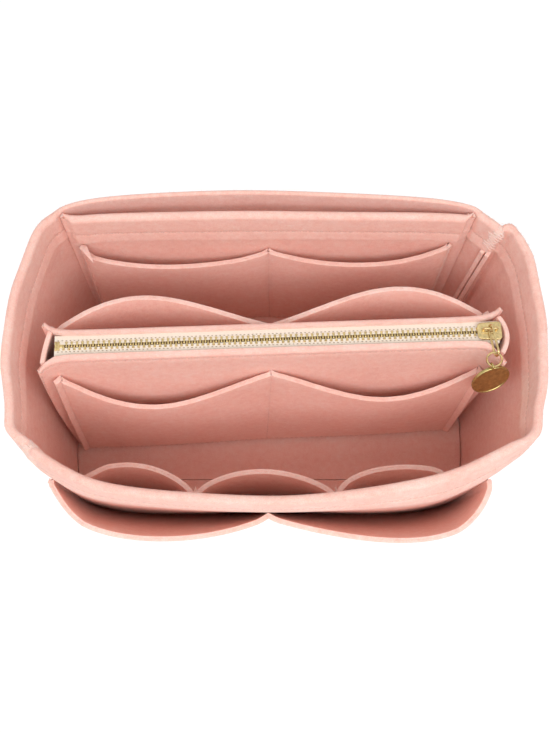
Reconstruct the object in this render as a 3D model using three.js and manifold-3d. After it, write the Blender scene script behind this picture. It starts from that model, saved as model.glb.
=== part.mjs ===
// Felt organizer for a handbag: an open tote with pockets all round, and a zipped pouch that lifts out.
// Millimetres. X runs along the length, Y to the back and Z up.
// The origin is the middle of the base's underside.

import * as THREE from 'three';
import { mergeVertices } from 'three/addons/utils/BufferGeometryUtils.js';
import Module from 'manifold-3d';

const wasm = await Module();
wasm.setup();

// Felt and the gap left at every seam
const felt = 2.5;
const clearance = 0.3;

// Tote: the floor is a rounded oblong and the rim is longer, deeper and set towards the front right
const toteHeight = 150;
const floorLength = 268;
const floorDepth = 150;
const rimLength = 309;
const rimDepth = 194;
const rimShiftRight = 4.5;
const rimShiftFront = 9;
const rimLean = 4;
const baseThickness = 4;
const hemDepth = 27;
const hemThickness = 5.5;
const rearRimThickness = 2.8;
const slipHeight = 149;
const slipSlot = 9.5;

// Pockets of the tote
const backPocketSide = 116;
const backPocketPeak = 105;
const backPocketScoop = 9;
const backPocketBulge = 7.5;
const innerPocketHeight = 100;
const innerPocketBulge = 19;
const outerPocketHeight = 105;
const outerPocketFoot = 3;
const outerPocketBulge = 17.5;

// Pouch: it stops short of the tote's ends at the top and at the floor
const pouchTopGap = 22.5;
const pouchBaseGap = 7;
const pouchBaseShift = -4.7;
const pouchTopDepth = 19;
const pouchEarDepth = 30;
const pouchBaseDepth = 36;
const pouchTop = 142;
const pouchRight = 2.2;
const pouchFront = 4.5;
const pouchYaw = 2.1;
const gussetCorner = 9;
const gussetBowLeft = 1.5;
const gussetBowRight = 4;
const frontPocketSide = 121;
const frontPocketPeak = 120;
const frontPocketScoop = 25;
const frontPocketBulge = 8;
const rearPocketHeight = 130;
const rearPocketBulge = 23;

// Hook-and-loop strips between the base and the pouch
const stripLength = 150;
const stripWidth = 20;
const stripThickness = 1.5;
const stripCorner = 3;

// Zip: elements, tapes and stops
const elementPitch = 3.05;
const elementRoot = 1.5;
const elementTip = 1.1;
const elementThickness = 2.4;
const chainWidth = 5.8;
const beadWidth = 1.4;
const tapeThickness = 0.8;
const tapeFlange = 9;
const tapeSink = 0.6;
const zipLeftInset = 8;
const zipRightInset = 2;
const stopLength = 3;
const topStopWidth = 1.5;

// Slider, its crown and the pull
const sliderLength = 14;
const sliderNoseWidth = 11.4;
const sliderTailWidth = 9.4;
const sliderPlate = 0.9;
const sliderCorner = 1.6;
const sliderInset = 5.6;
const dividerLength = 3;
const dividerWidth = 2.2;
const crownBar = 1.6;
const crownSpan = 7.6;
const crownRise = 3.4;
const crownBend = 1.2;
const wire = 1.3;
const linkLength = 19.5;
const linkSlot = 3.8;
const linkYaw = 8;
const linkDroop = 4;
const linkTwist = 14;
const ringBore = 7;
const ringPlay = 0.4;
const ringYaw = -20;
const ringDroop = 42;
const discDiameter = 23;
const discThickness = 1.8;
const discRim = 1.1;
const discRecess = 0.35;
const discYaw = 14;
const discDroop = 73;
const eyeletWire = 1;
const eyeletBore = 2.5;

// Plan of the floor and the rim, anticlockwise from the back right seam, in half lengths and half depths
const floorPlanShares = [
  [0.95, 0.85], [0.85, 0.985], [0, 1], [-0.85, 0.985], [-0.955, 0.85], [-1, 0.4], [-1, -0.1], [-0.99, -0.6],
  [-0.945, -0.86], [-0.76, -0.985], [0, -1], [0.76, -0.985], [0.945, -0.86], [0.99, -0.6], [1, -0.05],
  [0.995, 0.5], [0.98, 0.73],
];
const rimPlanShares = [
  [0.851, 0.768], [0.744, 0.887], [-0.029, 0.996], [-0.757, 0.91], [-0.9, 0.781], [-0.977, 0.387], [-1, -0.093],
  [-0.973, -0.433], [-0.9, -0.66], [-0.674, -0.896], [-0.029, -1], [0.63, -0.888], [0.87, -0.67],
  [0.97, -0.34], [1, 0.093], [0.97, 0.526], [0.932, 0.696],
];
// How far the hem leans inwards above its cut edge at each place of the rim, in leans
const rimLeanShares = [0, 0, 0, 0, 0, 0, 0, 0.4, 1, 1, 1, 1.9, 1.25, 0.25, 0, 0, 0];
const planStep = 1 / rimPlanShares.length;
const backRightSeamShare = 0;
const frontLeftSeamShare = 7.75 * planStep;
const slipStartShare = 0.875 * planStep;
const slipEndShare = 3.375 * planStep;
const hemRunShare = 0.25 * planStep;
const innerPocketShares = [8.625, 9.625, 10.375, 11.25].map((place) => place * planStep);
const outerPocketShares = [8.25, 10, 11.75].map((place) => place * planStep);

// Sizes worked out from the ones above
const pouchTopLength = rimLength - 2 * pouchTopGap;
const pouchBaseLength = floorLength - 2 * pouchBaseGap;
const zipLeft = pouchTopLength / 2 - zipLeftInset;
const zipRight = pouchTopLength / 2 - zipRightInset;
const sliderPlace = zipRight - sliderInset;
const hemFoot = toteHeight - hemDepth;
const insideFloor = baseThickness + clearance;
const hookFoot = insideFloor + stripThickness + clearance;
const pouchFoot = hookFoot + stripThickness + clearance;
const tapeTop = pouchTop - tapeSink;
const zipHeight = tapeTop - tapeThickness / 2;
const tapeEdge = pouchTopDepth / 2 - felt - clearance;
const channelHalfHeight = elementThickness / 2 + clearance;
const sliderHalfHeight = channelHalfHeight + sliderPlate;
const channelHalfWidth = chainWidth / 2 + clearance;
const linkRadius = (linkSlot + wire) / 2;
const ringRadius = (ringBore + wire) / 2;
const eyeletRadius = (eyeletBore + eyeletWire) / 2;
const wireSeat = wire + ringPlay;
const cutOverrun = 5;

// Numbers of steps round and along the curved pieces
const stepsPerPlan = 8;
const slipSteps = Math.round(((slipEndShare - slipStartShare) / planStep) * stepsPerPlan);
const innerPocketSteps = Math.round(((innerPocketShares[3] - innerPocketShares[0]) / planStep) * stepsPerPlan);
const pocketRows = 5;
const patchSteps = 10;
const panelSteps = 20;
const panelRows = 3;
const roundSides = 10;
const loopSteps = 28;
const discSides = 36;

const radians = THREE.MathUtils.degToRad;

// A closed body has a positive volume when its faces point out
function facingOut(geometry) {
  const position = geometry.getAttribute('position');
  const index = geometry.getIndex();
  const corners = [new THREE.Vector3(), new THREE.Vector3(), new THREE.Vector3()];
  let volume = 0;
  for (let i = 0; i < index.count; i += 3) {
    corners.forEach((corner, k) => corner.fromBufferAttribute(position, index.getX(i + k)));
    volume += corners[0].dot(corners[1].clone().cross(corners[2]));
  }
  if (volume < 0) {
    for (let i = 0; i < index.count; i += 3) {
      const first = index.getX(i);
      index.setX(i, index.getX(i + 1));
      index.setX(i + 1, first);
    }
  }
  geometry.computeVertexNormals();
  return geometry;
}

function bodyFrom(points, index) {
  const geometry = new THREE.BufferGeometry();
  geometry.setAttribute('position', new THREE.Float32BufferAttribute(points.flatMap((p) => p.toArray()), 3));
  geometry.setIndex(index);
  return facingOut(geometry);
}

// Loft through rings of points that all follow one flat profile, closed at both ends
function loft(rings, profile) {
  const count = profile.length;
  const index = [];
  for (let ring = 0; ring + 1 < rings.length; ring += 1) {
    for (let k = 0; k < count; k += 1) {
      const a = ring * count + k;
      const b = ring * count + ((k + 1) % count);
      index.push(a, b, b + count, a, b + count, a + count);
    }
  }
  const last = (rings.length - 1) * count;
  const clockwise = THREE.ShapeUtils.isClockWise(profile);
  THREE.ShapeUtils.triangulateShape(profile, []).forEach(([a, b, c]) => {
    const [first, third] = clockwise ? [c, a] : [a, c];
    index.push(third, b, first, last + first, last + b, last + third);
  });
  return bodyFrom(rings.flat(), index);
}

// Sheet between two skins, each a function of two shares that run from 0 to 1
function sheet(outer, inner, across, up) {
  const points = [];
  const index = [];
  const row = across + 1;
  const skin = row * (up + 1);
  [outer, inner].forEach((surface) => {
    for (let j = 0; j <= up; j += 1) {
      for (let i = 0; i <= across; i += 1) {
        points.push(surface(i / across, j / up));
      }
    }
  });
  for (let j = 0; j < up; j += 1) {
    for (let i = 0; i < across; i += 1) {
      const a = j * row + i;
      index.push(a, a + 1, a + row + 1, a, a + row + 1, a + row);
      index.push(skin + a, skin + a + row + 1, skin + a + 1, skin + a, skin + a + row, skin + a + row + 1);
    }
  }
  const edge = [];
  for (let i = 0; i < across; i += 1) edge.push(i);
  for (let j = 0; j < up; j += 1) edge.push(j * row + across);
  for (let i = across; i > 0; i -= 1) edge.push(up * row + i);
  for (let j = up; j > 0; j -= 1) edge.push(j * row);
  edge.forEach((a, k) => {
    const b = edge[(k + 1) % edge.length];
    index.push(b, a, skin + a, b, skin + a, skin + b);
  });
  return bodyFrom(points, index);
}

// Tube round a closed flat path, given the points, their outward directions and the path's normal
function closedTube(path, radius, sides, normal) {
  const points = [];
  const index = [];
  path.forEach(({ point, outward }) => {
    for (let k = 0; k < sides; k += 1) {
      const turn = (2 * Math.PI * k) / sides;
      points.push(point.clone().addScaledVector(outward, radius * Math.cos(turn))
        .addScaledVector(normal, radius * Math.sin(turn)));
    }
  });
  for (let i = 0; i < path.length; i += 1) {
    const next = (i + 1) % path.length;
    for (let k = 0; k < sides; k += 1) {
      const a = i * sides + k;
      const b = i * sides + ((k + 1) % sides);
      const c = next * sides + ((k + 1) % sides);
      const d = next * sides + k;
      index.push(a, b, c, a, c, d);
    }
  }
  return bodyFrom(points, index);
}

function toSolid(geometry) {
  const bare = geometry.clone();
  bare.deleteAttribute('normal');
  bare.deleteAttribute('uv');
  const merged = mergeVertices(bare);
  return new wasm.Manifold(new wasm.Mesh({
    numProp: 3,
    vertProperties: Float32Array.from(merged.getAttribute('position').array),
    triVerts: Uint32Array.from(merged.getIndex().array),
  }));
}

function fromSolid(solid) {
  const mesh = solid.getMesh();
  const geometry = new THREE.BufferGeometry();
  geometry.setAttribute('position', new THREE.BufferAttribute(Float32Array.from(mesh.vertProperties), 3));
  geometry.setIndex(new THREE.BufferAttribute(Uint32Array.from(mesh.triVerts), 1));
  geometry.computeVertexNormals();
  return geometry;
}

function boxBetween(low, high) {
  const size = high.clone().sub(low);
  const middle = high.clone().add(low).multiplyScalar(1 / 2);
  return new THREE.BoxGeometry(size.x, size.y, size.z).translate(middle.x, middle.y, middle.z);
}

function roundedRectangle(length, width, corner) {
  const x = length / 2;
  const y = width / 2;
  const shape = new THREE.Shape();
  shape.moveTo(-x + corner, -y);
  shape.lineTo(x - corner, -y);
  shape.quadraticCurveTo(x, -y, x, -y + corner);
  shape.lineTo(x, y - corner);
  shape.quadraticCurveTo(x, y, x - corner, y);
  shape.lineTo(-x + corner, y);
  shape.quadraticCurveTo(-x, y, -x, y - corner);
  shape.lineTo(-x, -y + corner);
  shape.quadraticCurveTo(-x, -y, -x + corner, -y);
  return shape;
}

// Each piece has its own material
function piece(name, geometry, color, roughness, metalness) {
  const mesh = new THREE.Mesh(geometry, new THREE.MeshStandardMaterial({ color, roughness, metalness }));
  mesh.name = name;
  return mesh;
}
const feltPiece = (name, geometry) => piece(name, geometry, 0xe4aa9b, 0.95, 0);
const goldPiece = (name, geometry) => piece(name, geometry, 0xc9a45c, 0.3, 1);

// Tote walls: a ruled surface from the floor's plan to the rim's
const planCurve = (points) => new THREE.CatmullRomCurve3(points, true);
const floorPlan = planCurve(floorPlanShares.map(
  ([x, y]) => new THREE.Vector3((x * floorLength) / 2, (y * floorDepth) / 2, 0),
));
const rimPlan = planCurve(rimPlanShares.map(
  ([x, y]) => new THREE.Vector3(rimShiftRight + (x * rimLength) / 2, (y * rimDepth) / 2 - rimShiftFront, 0),
));
const leanPlan = planCurve(rimLeanShares.map((lean, i) => new THREE.Vector3(i, lean * rimLean, 0)));
const wrap = (share) => share - Math.floor(share);

function wallPoint(share, z, inset) {
  const rise = z / toteHeight;
  const point = floorPlan.getPoint(wrap(share)).lerp(rimPlan.getPoint(wrap(share)), rise);
  const along = floorPlan.getTangent(wrap(share)).lerp(rimPlan.getTangent(wrap(share)), rise).normalize();
  const lean = (leanPlan.getPoint(wrap(share)).y * Math.max(0, z - hemFoot)) / hemDepth;
  return new THREE.Vector3(point.x - along.y * (inset + lean), point.y + along.x * (inset + lean), z);
}

// Section of a hemmed wall: the top is folded over and its cut edge ends the hem
function hemProfile(foot, height, thickness) {
  const fold = thickness / 2;
  const corner = fold * (1 - Math.SQRT1_2);
  const hemEnd = height - hemDepth;
  return [
    [0, foot], [felt, foot], [felt, hemEnd], [thickness, hemEnd], [thickness, height - fold],
    [thickness - corner, height - corner], [fold, height], [corner, height - corner], [0, height - fold],
    [0, hemEnd],
  ].map(([inset, z]) => new THREE.Vector2(inset, z));
}

function hemmedWall(start, end, foot, height, thicknessAt, insetAt) {
  const rings = [];
  const steps = Math.round(((end - start) / planStep) * stepsPerPlan);
  for (let i = 0; i <= steps; i += 1) {
    const along = i / steps;
    const share = start + (end - start) * along;
    rings.push(hemProfile(foot, height, thicknessAt(share)).map(
      ({ x, y }) => wallPoint(share, y, x + insetAt(along, y)),
    ));
  }
  return loft(rings, hemProfile(foot, height, hemThickness));
}

// The hem is single behind the slip panel, and double elsewhere
function rimThicknessAt(share) {
  const into = Math.min(share - slipStartShare, slipEndShare - share) + hemRunShare;
  const blend = THREE.MathUtils.clamp(into / hemRunShare, 0, 1);
  return hemThickness + (rearRimThickness - hemThickness) * blend;
}
const seamGapShare = clearance / 2 / rimPlan.getLength();
const flush = () => 0;

function toteWalls() {
  const seams = [backRightSeamShare, frontLeftSeamShare, 1];
  return ['back_left_wall', 'front_right_wall'].map((name, i) => feltPiece(name, hemmedWall(
    seams[i] + seamGapShare,
    seams[i + 1] - seamGapShare,
    0,
    toteHeight,
    rimThicknessAt,
    flush,
  )));
}

function basePanel() {
  const outline = [];
  const steps = stepsPerPlan * floorPlanShares.length;
  for (let i = 0; i < steps; i += 1) {
    const point = wallPoint(i / steps, 0, felt + clearance);
    outline.push(new THREE.Vector2(point.x, point.y));
  }
  const shape = new THREE.Shape(outline);
  return feltPiece('base_panel', new THREE.ExtrudeGeometry(shape, { depth: baseThickness, bevelEnabled: false }));
}

// Slip panel inside the back wall: it bows forward to leave a full-width slot behind it
const bow = (share) => Math.sin(Math.PI * THREE.MathUtils.clamp(share, 0, 1));
const slipInset = (along, z) => rearRimThickness + clearance + slipSlot * bow(along) ** 0.7 * (z / toteHeight);

function rearSlipPanel() {
  const geometry = hemmedWall(
    slipStartShare,
    slipEndShare,
    insideFloor,
    slipHeight,
    () => hemThickness,
    slipInset,
  );
  return feltPiece('rear_slip_panel', geometry);
}

// Share of the way through the pocket that holds a place, for seams at rising places
function pocketShare(seams, place) {
  const pocket = Math.max(0, seams.findIndex((seam, i) => i > 0 && place <= seam) - 1);
  return (place - seams[pocket]) / (seams[pocket + 1] - seams[pocket]);
}
const spread = (seams, share) => seams[0] + (seams[seams.length - 1] - seams[0]) * share;

const backPocketSeamStep = 9;
const backPocketShares = [1, backPocketSeamStep, slipSteps - 1].map((step) => step / slipSteps);

function innerBackPocketPatch() {
  const skin = (extra) => (u, v) => {
    const along = spread(backPocketShares, u);
    const through = pocketShare(backPocketShares, along);
    const seamSide = Math.abs(2 * u - 1);
    const top = backPocketPeak + (backPocketSide - backPocketPeak) * seamSide - backPocketScoop * bow(through);
    const z = insideFloor + (top - insideFloor) * v;
    const share = slipStartShare + (slipEndShare - slipStartShare) * along;
    const stand = felt + clearance + backPocketBulge * bow(through) * v ** 0.6;
    return wallPoint(share, z, slipInset(along, z) + stand + extra);
  };
  return feltPiece('inner_back_pocket_patch', sheet(skin(0), skin(felt), slipSteps - 2, pocketRows));
}

function innerFrontPocketStrip() {
  const skin = (extra) => (u, v) => {
    const share = spread(innerPocketShares, u);
    const swell = innerPocketBulge * bow(pocketShare(innerPocketShares, share)) ** 0.8 * v ** 1.5;
    const z = insideFloor + (innerPocketHeight - insideFloor) * v;
    return wallPoint(share, z, felt + clearance + swell + extra);
  };
  return feltPiece('inner_front_pocket_strip', sheet(skin(0), skin(felt), innerPocketSteps, pocketRows));
}

function outerFrontPocketStrip() {
  const skin = (extra) => (u, v) => {
    const share = spread(outerPocketShares, u);
    const swell = outerPocketBulge * bow(pocketShare(outerPocketShares, share)) ** 0.7 * v ** 1.5;
    const z = outerPocketFoot + (outerPocketHeight - outerPocketFoot) * v;
    return wallPoint(share, z, -clearance - swell - extra);
  };
  return feltPiece('outer_front_pocket_strip', sheet(skin(0), skin(felt), 2 * patchSteps, pocketRows));
}

// Pouch sides: thick at the base, narrow along the zip, with the top corners turned out as ears
function pouchHalfDepth(u, v) {
  const top = pouchTopDepth + (pouchEarDepth - pouchTopDepth) * Math.abs(u) ** 22;
  return (pouchBaseDepth + (top - pouchBaseDepth) * v) / 2;
}
const pouchHalfLength = (v) => (pouchBaseLength + (pouchTopLength - pouchBaseLength) * v) / 2;
const pouchRise = (z) => (z - pouchFoot) / (pouchTop - pouchFoot);
const pouchShift = (z) => pouchBaseShift * (1 - pouchRise(z));

function pouchPoint(side, u, z, outward) {
  const v = pouchRise(z);
  return new THREE.Vector3(u * pouchHalfLength(v) + pouchShift(z), side * (pouchHalfDepth(u, v) + outward), z);
}

function pouchPanel(name, side) {
  const skin = (outward) => (u, v) => {
    const place = 2 * u - 1;
    const eased = Math.sign(place) * (1 - (1 - Math.abs(place)) ** 1.6);
    return pouchPoint(side, eased, pouchFoot + (pouchTop - pouchFoot) * v, outward);
  };
  return feltPiece(name, sheet(skin(0), skin(-felt), panelSteps, panelRows));
}

// Gusset: one strip down the left end, along the bottom and up the right end
function pouchGusset() {
  const bowShares = [-1, -0.5, 0, 0.5, 1];
  const stations = [];
  const legHeights = [1, 0.7, 0.4, 0.15];
  const legPlace = (v) => pouchFoot + gussetCorner + (pouchTop - pouchFoot - gussetCorner) * v;
  const cornerTurns = [0.25, 0.5, 0.75];
  const leg = (side) => legHeights.map((v) => ({
    x: side * pouchHalfLength(pouchRise(legPlace(v))),
    z: legPlace(v),
    inward: [-side, 0],
    swell: v,
  }));
  const corner = (side) => cornerTurns.map((turn) => {
    const angle = (turn * Math.PI) / 2;
    return {
      x: side * (pouchHalfLength(0) - gussetCorner * (1 - Math.cos(angle))),
      z: pouchFoot + gussetCorner * (1 - Math.sin(angle)),
      inward: [-side * Math.cos(angle), Math.sin(angle)],
      swell: 0,
    };
  });
  const bottom = [-1, 0, 1].map((share) => ({
    x: share * (pouchHalfLength(0) - gussetCorner),
    z: pouchFoot,
    inward: [0, 1],
    swell: 0,
  }));
  stations.push(...leg(-1), ...corner(-1), ...bottom, ...corner(1).reverse(), ...leg(1).reverse());
  const rings = stations.map(({ x, z, inward, swell }) => {
    const end = 1 - felt / pouchHalfLength(pouchRise(z));
    const half = pouchHalfDepth(end, pouchRise(z)) - felt - clearance;
    const row = (depth) => bowShares.map((share) => {
      const out = (x < 0 ? gussetBowLeft : gussetBowRight) * swell * (1 - share ** 2) - depth;
      return new THREE.Vector3(x + pouchShift(z) - inward[0] * out, share * half, z - inward[1] * out);
    });
    return [...row(0), ...row(felt).reverse()];
  });
  const profile = [...bowShares.map((share) => new THREE.Vector2(share, 0)),
    ...bowShares.map((share) => new THREE.Vector2(-share, 1))];
  return feltPiece('pouch_gusset', loft(rings, profile));
}

const pouchPocketShares = [-0.982, 0, 0.982];

function pouchFrontPocketPatch() {
  const skin = (extra) => (share, v) => {
    const u = spread(pouchPocketShares, share);
    const through = pocketShare(pouchPocketShares, u);
    const top = frontPocketPeak + (frontPocketSide - frontPocketPeak) * Math.abs(u)
      - frontPocketScoop * bow(through);
    const z = pouchFoot + (top - pouchFoot) * v;
    return pouchPoint(-1, u, z, clearance + frontPocketBulge * bow(through) * v ** 0.6 + extra);
  };
  return feltPiece('pouch_front_pocket_patch', sheet(skin(0), skin(felt), 2 * patchSteps, pocketRows));
}

function pouchBackPocketStrip() {
  const skin = (extra) => (share, v) => {
    const u = spread(pouchPocketShares, share);
    const swell = rearPocketBulge * bow(pocketShare(pouchPocketShares, u)) ** 0.8 * v ** 1.5;
    const z = pouchFoot + (rearPocketHeight - pouchFoot) * v;
    return pouchPoint(1, u, z, clearance + swell + extra);
  };
  return feltPiece('pouch_back_pocket_strip', sheet(skin(0), skin(felt), 2 * patchSteps, pocketRows));
}

function fastenerStrip(name, foot) {
  const shape = roundedRectangle(stripLength, stripWidth, stripCorner);
  const geometry = new THREE.ExtrudeGeometry(shape, { depth: stripThickness, bevelEnabled: false, curveSegments: 3 });
  return piece(name, geometry.translate(0, 0, foot), 0xe8b6a8, 1, 0);
}

// Zip tape: flat along the chain, its outer edge turned down inside the panel
function zipTape(name, side) {
  const inner = chainWidth / 2 + clearance;
  const fold = tapeEdge - tapeThickness;
  const section = [
    [inner, tapeTop], [tapeEdge, tapeTop], [tapeEdge, tapeTop - tapeFlange], [fold, tapeTop - tapeFlange],
    [fold, tapeTop - tapeThickness], [inner, tapeTop - tapeThickness],
  ];
  const rings = [-zipLeft, zipRight].map((x) => section.map(([y, z]) => new THREE.Vector3(x, side * y, z)));
  return piece(name, loft(rings, section.map(([y, z]) => new THREE.Vector2(y, z))), 0xf6ead8, 0.85, 0);
}

// A row of elements clamped on the tape's corded edge, which is the solid that joins them
const chainStart = stopLength + clearance - zipLeft;
const chainEnd = sliderPlace + sliderLength / 2 - dividerLength - clearance;

function elementRow(name, side, offset) {
  const outer = chainWidth / 2;
  const root = outer - beadWidth;
  const tip = clearance - root;
  const outline = [new THREE.Vector2(chainEnd, side * outer), new THREE.Vector2(chainStart, side * outer)];
  outline.push(new THREE.Vector2(chainStart, side * root));
  for (let x = chainStart + elementPitch * offset; x < chainEnd - elementRoot; x += elementPitch) {
    outline.push(new THREE.Vector2(x - elementRoot / 2, side * root));
    outline.push(new THREE.Vector2(x - elementTip / 2, side * tip));
    outline.push(new THREE.Vector2(x + elementTip / 2, side * tip));
    outline.push(new THREE.Vector2(x + elementRoot / 2, side * root));
  }
  outline.push(new THREE.Vector2(chainEnd, side * root));
  const geometry = new THREE.ExtrudeGeometry(
    new THREE.Shape(outline),
    { depth: elementThickness, bevelEnabled: false },
  );
  return goldPiece(name, geometry.translate(0, 0, zipHeight - elementThickness / 2));
}

function zipStops() {
  const half = elementThickness / 2;
  const bottom = boxBetween(
    new THREE.Vector3(-zipLeft, -chainWidth / 2, zipHeight - half),
    new THREE.Vector3(-zipLeft + stopLength, chainWidth / 2, zipHeight + half),
  );
  const mouth = chainEnd + clearance;
  const outer = chainWidth / 2;
  const tops = [['front_top_stop', -1], ['back_top_stop', 1]].map(([name, side]) => {
    const edges = [side * outer, side * (outer - topStopWidth)];
    return goldPiece(name, boxBetween(
      new THREE.Vector3(mouth, Math.min(...edges), zipHeight - half),
      new THREE.Vector3(zipRight, Math.max(...edges), zipHeight + half),
    ));
  });
  return [goldPiece('bottom_stop', bottom), ...tops];
}

// Slider: two plates with lips round the chain, joined by the divider at the nose
function sliderBody() {
  const nose = sliderLength / 2;
  const outline = new THREE.Shape();
  outline.moveTo(-nose, -sliderTailWidth / 2 + sliderCorner);
  outline.quadraticCurveTo(-nose, -sliderTailWidth / 2, -nose + sliderCorner, -sliderTailWidth / 2);
  outline.lineTo(nose - 2 * sliderCorner, -sliderNoseWidth / 2);
  outline.quadraticCurveTo(nose, -sliderNoseWidth / 2, nose, -sliderNoseWidth / 2 + 2 * sliderCorner);
  outline.lineTo(nose, sliderNoseWidth / 2 - 2 * sliderCorner);
  outline.quadraticCurveTo(nose, sliderNoseWidth / 2, nose - 2 * sliderCorner, sliderNoseWidth / 2);
  outline.lineTo(-nose + sliderCorner, sliderTailWidth / 2);
  outline.quadraticCurveTo(-nose, sliderTailWidth / 2, -nose, sliderTailWidth / 2 - sliderCorner);
  outline.closePath();
  const block = new THREE.ExtrudeGeometry(
    outline,
    { depth: 2 * sliderHalfHeight, bevelEnabled: false, curveSegments: 4 },
  ).translate(0, 0, -sliderHalfHeight);
  const reach = nose + cutOverrun;
  const across = sliderNoseWidth / 2 + cutOverrun;
  const slotHalf = tapeThickness / 2 + clearance;
  const channel = boxBetween(
    new THREE.Vector3(-reach, -channelHalfWidth, -channelHalfHeight),
    new THREE.Vector3(reach, channelHalfWidth, channelHalfHeight),
  );
  const slot = boxBetween(
    new THREE.Vector3(-reach, -across, -slotHalf),
    new THREE.Vector3(reach, across, slotHalf),
  );
  const divider = boxBetween(
    new THREE.Vector3(nose - dividerLength, -dividerWidth / 2, -sliderHalfHeight + sliderPlate / 2),
    new THREE.Vector3(nose - sliderPlate / 2, dividerWidth / 2, sliderHalfHeight - sliderPlate / 2),
  );
  const solid = toSolid(block).subtract(toSolid(channel)).subtract(toSolid(slot)).add(toSolid(divider));
  return goldPiece('slider_body', fromSolid(solid));
}

// Crown: a round bar along the chain, bent down at both ends on to the top plate
function sliderCrown() {
  const half = crownSpan / 2;
  const foot = sliderHalfHeight + clearance;
  const top = sliderHalfHeight + crownRise;
  const at = (x, z) => new THREE.Vector3(x, 0, z);
  const path = new THREE.CurvePath();
  path.add(new THREE.LineCurve3(at(-half, foot), at(-half, top - crownBend)));
  path.add(new THREE.QuadraticBezierCurve3(at(-half, top - crownBend), at(-half, top), at(crownBend - half, top)));
  path.add(new THREE.LineCurve3(at(crownBend - half, top), at(half - crownBend, top)));
  path.add(new THREE.QuadraticBezierCurve3(at(half - crownBend, top), at(half, top), at(half, top - crownBend)));
  path.add(new THREE.LineCurve3(at(half, top - crownBend), at(half, foot)));
  const section = new THREE.Shape();
  section.absarc(0, 0, crownBar / 2, 0, 2 * Math.PI);
  const options = { steps: 26, extrudePath: path, curveSegments: roundSides / 2 };
  return goldPiece('slider_crown', new THREE.ExtrudeGeometry(section, options));
}

// Link: an oval loop of wire in the plane of Y and Z, with the crown's bar at the origin
const linkNear = crownBar / 2 + wire / 2 + clearance;
const linkFar = linkNear - linkLength + wire;

function pullLink() {
  const path = [];
  for (let i = 0; i < loopSteps; i += 1) {
    const turn = (2 * Math.PI * i) / loopSteps;
    const middle = Math.cos(turn) > 0 ? linkNear - linkRadius : linkFar + linkRadius;
    const outward = new THREE.Vector3(0, Math.cos(turn), Math.sin(turn));
    path.push({ point: new THREE.Vector3(0, middle, 0).addScaledVector(outward, linkRadius), outward });
  }
  return goldPiece('pull_link', closedTube(path, wire / 2, roundSides, new THREE.Vector3(1, 0, 0)));
}

function connectingRing() {
  const geometry = new THREE.TorusGeometry(ringRadius, wire / 2, roundSides, loopSteps);
  return goldPiece('connecting_ring', facingOut(mergeVertices(withoutSeams(geometry)))
    .translate(0, -ringRadius, 0));
}

function withoutSeams(geometry) {
  geometry.deleteAttribute('normal');
  geometry.deleteAttribute('uv');
  return geometry;
}

// Disc: a blank coin with a raised rim, hanging by an eyelet set across its edge
function discTag() {
  const radius = discDiameter / 2;
  const half = discThickness / 2;
  const eyeletNear = wireSeat - (wire - eyeletWire) / 2;
  const eyeletMiddle = eyeletNear - eyeletRadius;
  const discEdge = eyeletMiddle - eyeletRadius + eyeletWire / 4;
  const chamfer = discRim / 4;
  const profile = [
    [0, -half + discRecess], [radius - discRim, -half + discRecess], [radius - discRim + chamfer, -half],
    [radius - chamfer, -half], [radius, -half + chamfer], [radius, half - chamfer], [radius - chamfer, half],
    [radius - discRim + chamfer, half], [radius - discRim, half - discRecess], [0, half - discRecess],
  ].map(([x, y]) => new THREE.Vector2(x, y));
  const coin = new THREE.LatheGeometry(profile, discSides).rotateX(Math.PI / 2).translate(0, discEdge - radius, 0);
  const eyelet = new THREE.TorusGeometry(eyeletRadius, eyeletWire / 2, roundSides, loopSteps / 2)
    .rotateY(Math.PI / 2).translate(0, eyeletMiddle, 0);
  const bodies = [coin, eyelet].map((geometry) => toSolid(facingOut(mergeVertices(withoutSeams(geometry)))));
  return piece('disc_tag', fromSolid(bodies[0].add(bodies[1])), 0xa77c45, 0.35, 1);
}

// Placing: the slider sits on the zip, and each piece of the pull hangs forward and down from the one before it
function hung(place, yaw, droop, hanging) {
  const group = new THREE.Group();
  group.position.copy(place);
  group.rotation.order = 'ZXY';
  group.rotation.z = radians(yaw);
  group.rotation.x = radians(droop);
  group.add(hanging);
  group.updateMatrix();
  return group;
}

function pull() {
  const oval = pullLink();
  oval.rotation.y = radians(linkTwist);
  const link = hung(new THREE.Vector3(0, 0, sliderHalfHeight + crownRise), linkYaw, linkDroop, oval);
  const linkEnd = new THREE.Vector3(0, linkFar + wireSeat, 0).applyMatrix4(link.matrix);
  const ring = hung(linkEnd, ringYaw, ringDroop, connectingRing());
  const ringEnd = new THREE.Vector3(0, -2 * ringRadius, 0).applyMatrix4(ring.matrix);
  return [link, ring, hung(ringEnd, discYaw, discDroop, discTag())];
}

function slider() {
  const group = new THREE.Group();
  group.position.set(sliderPlace, 0, zipHeight);
  group.add(sliderBody(), sliderCrown(), ...pull());
  return group;
}

const pouch = new THREE.Group();
pouch.position.set(pouchRight, -pouchFront, 0);
pouch.rotation.z = radians(pouchYaw);
pouch.add(
  pouchPanel('pouch_front_panel', -1),
  pouchPanel('pouch_back_panel', 1),
  pouchGusset(),
  pouchFrontPocketPatch(),
  pouchBackPocketStrip(),
  fastenerStrip('loop_strip', insideFloor),
  fastenerStrip('hook_strip', hookFoot),
  zipTape('front_zip_tape', -1),
  zipTape('back_zip_tape', 1),
  elementRow('front_element_row', -1, 1 / 2),
  elementRow('back_element_row', 1, 1),
  ...zipStops(),
  slider(),
);

const group = new THREE.Group();
group.add(
  basePanel(),
  ...toteWalls(),
  rearSlipPanel(),
  innerBackPocketPatch(),
  innerFrontPocketStrip(),
  outerFrontPocketStrip(),
  pouch,
);
export default group;
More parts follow.
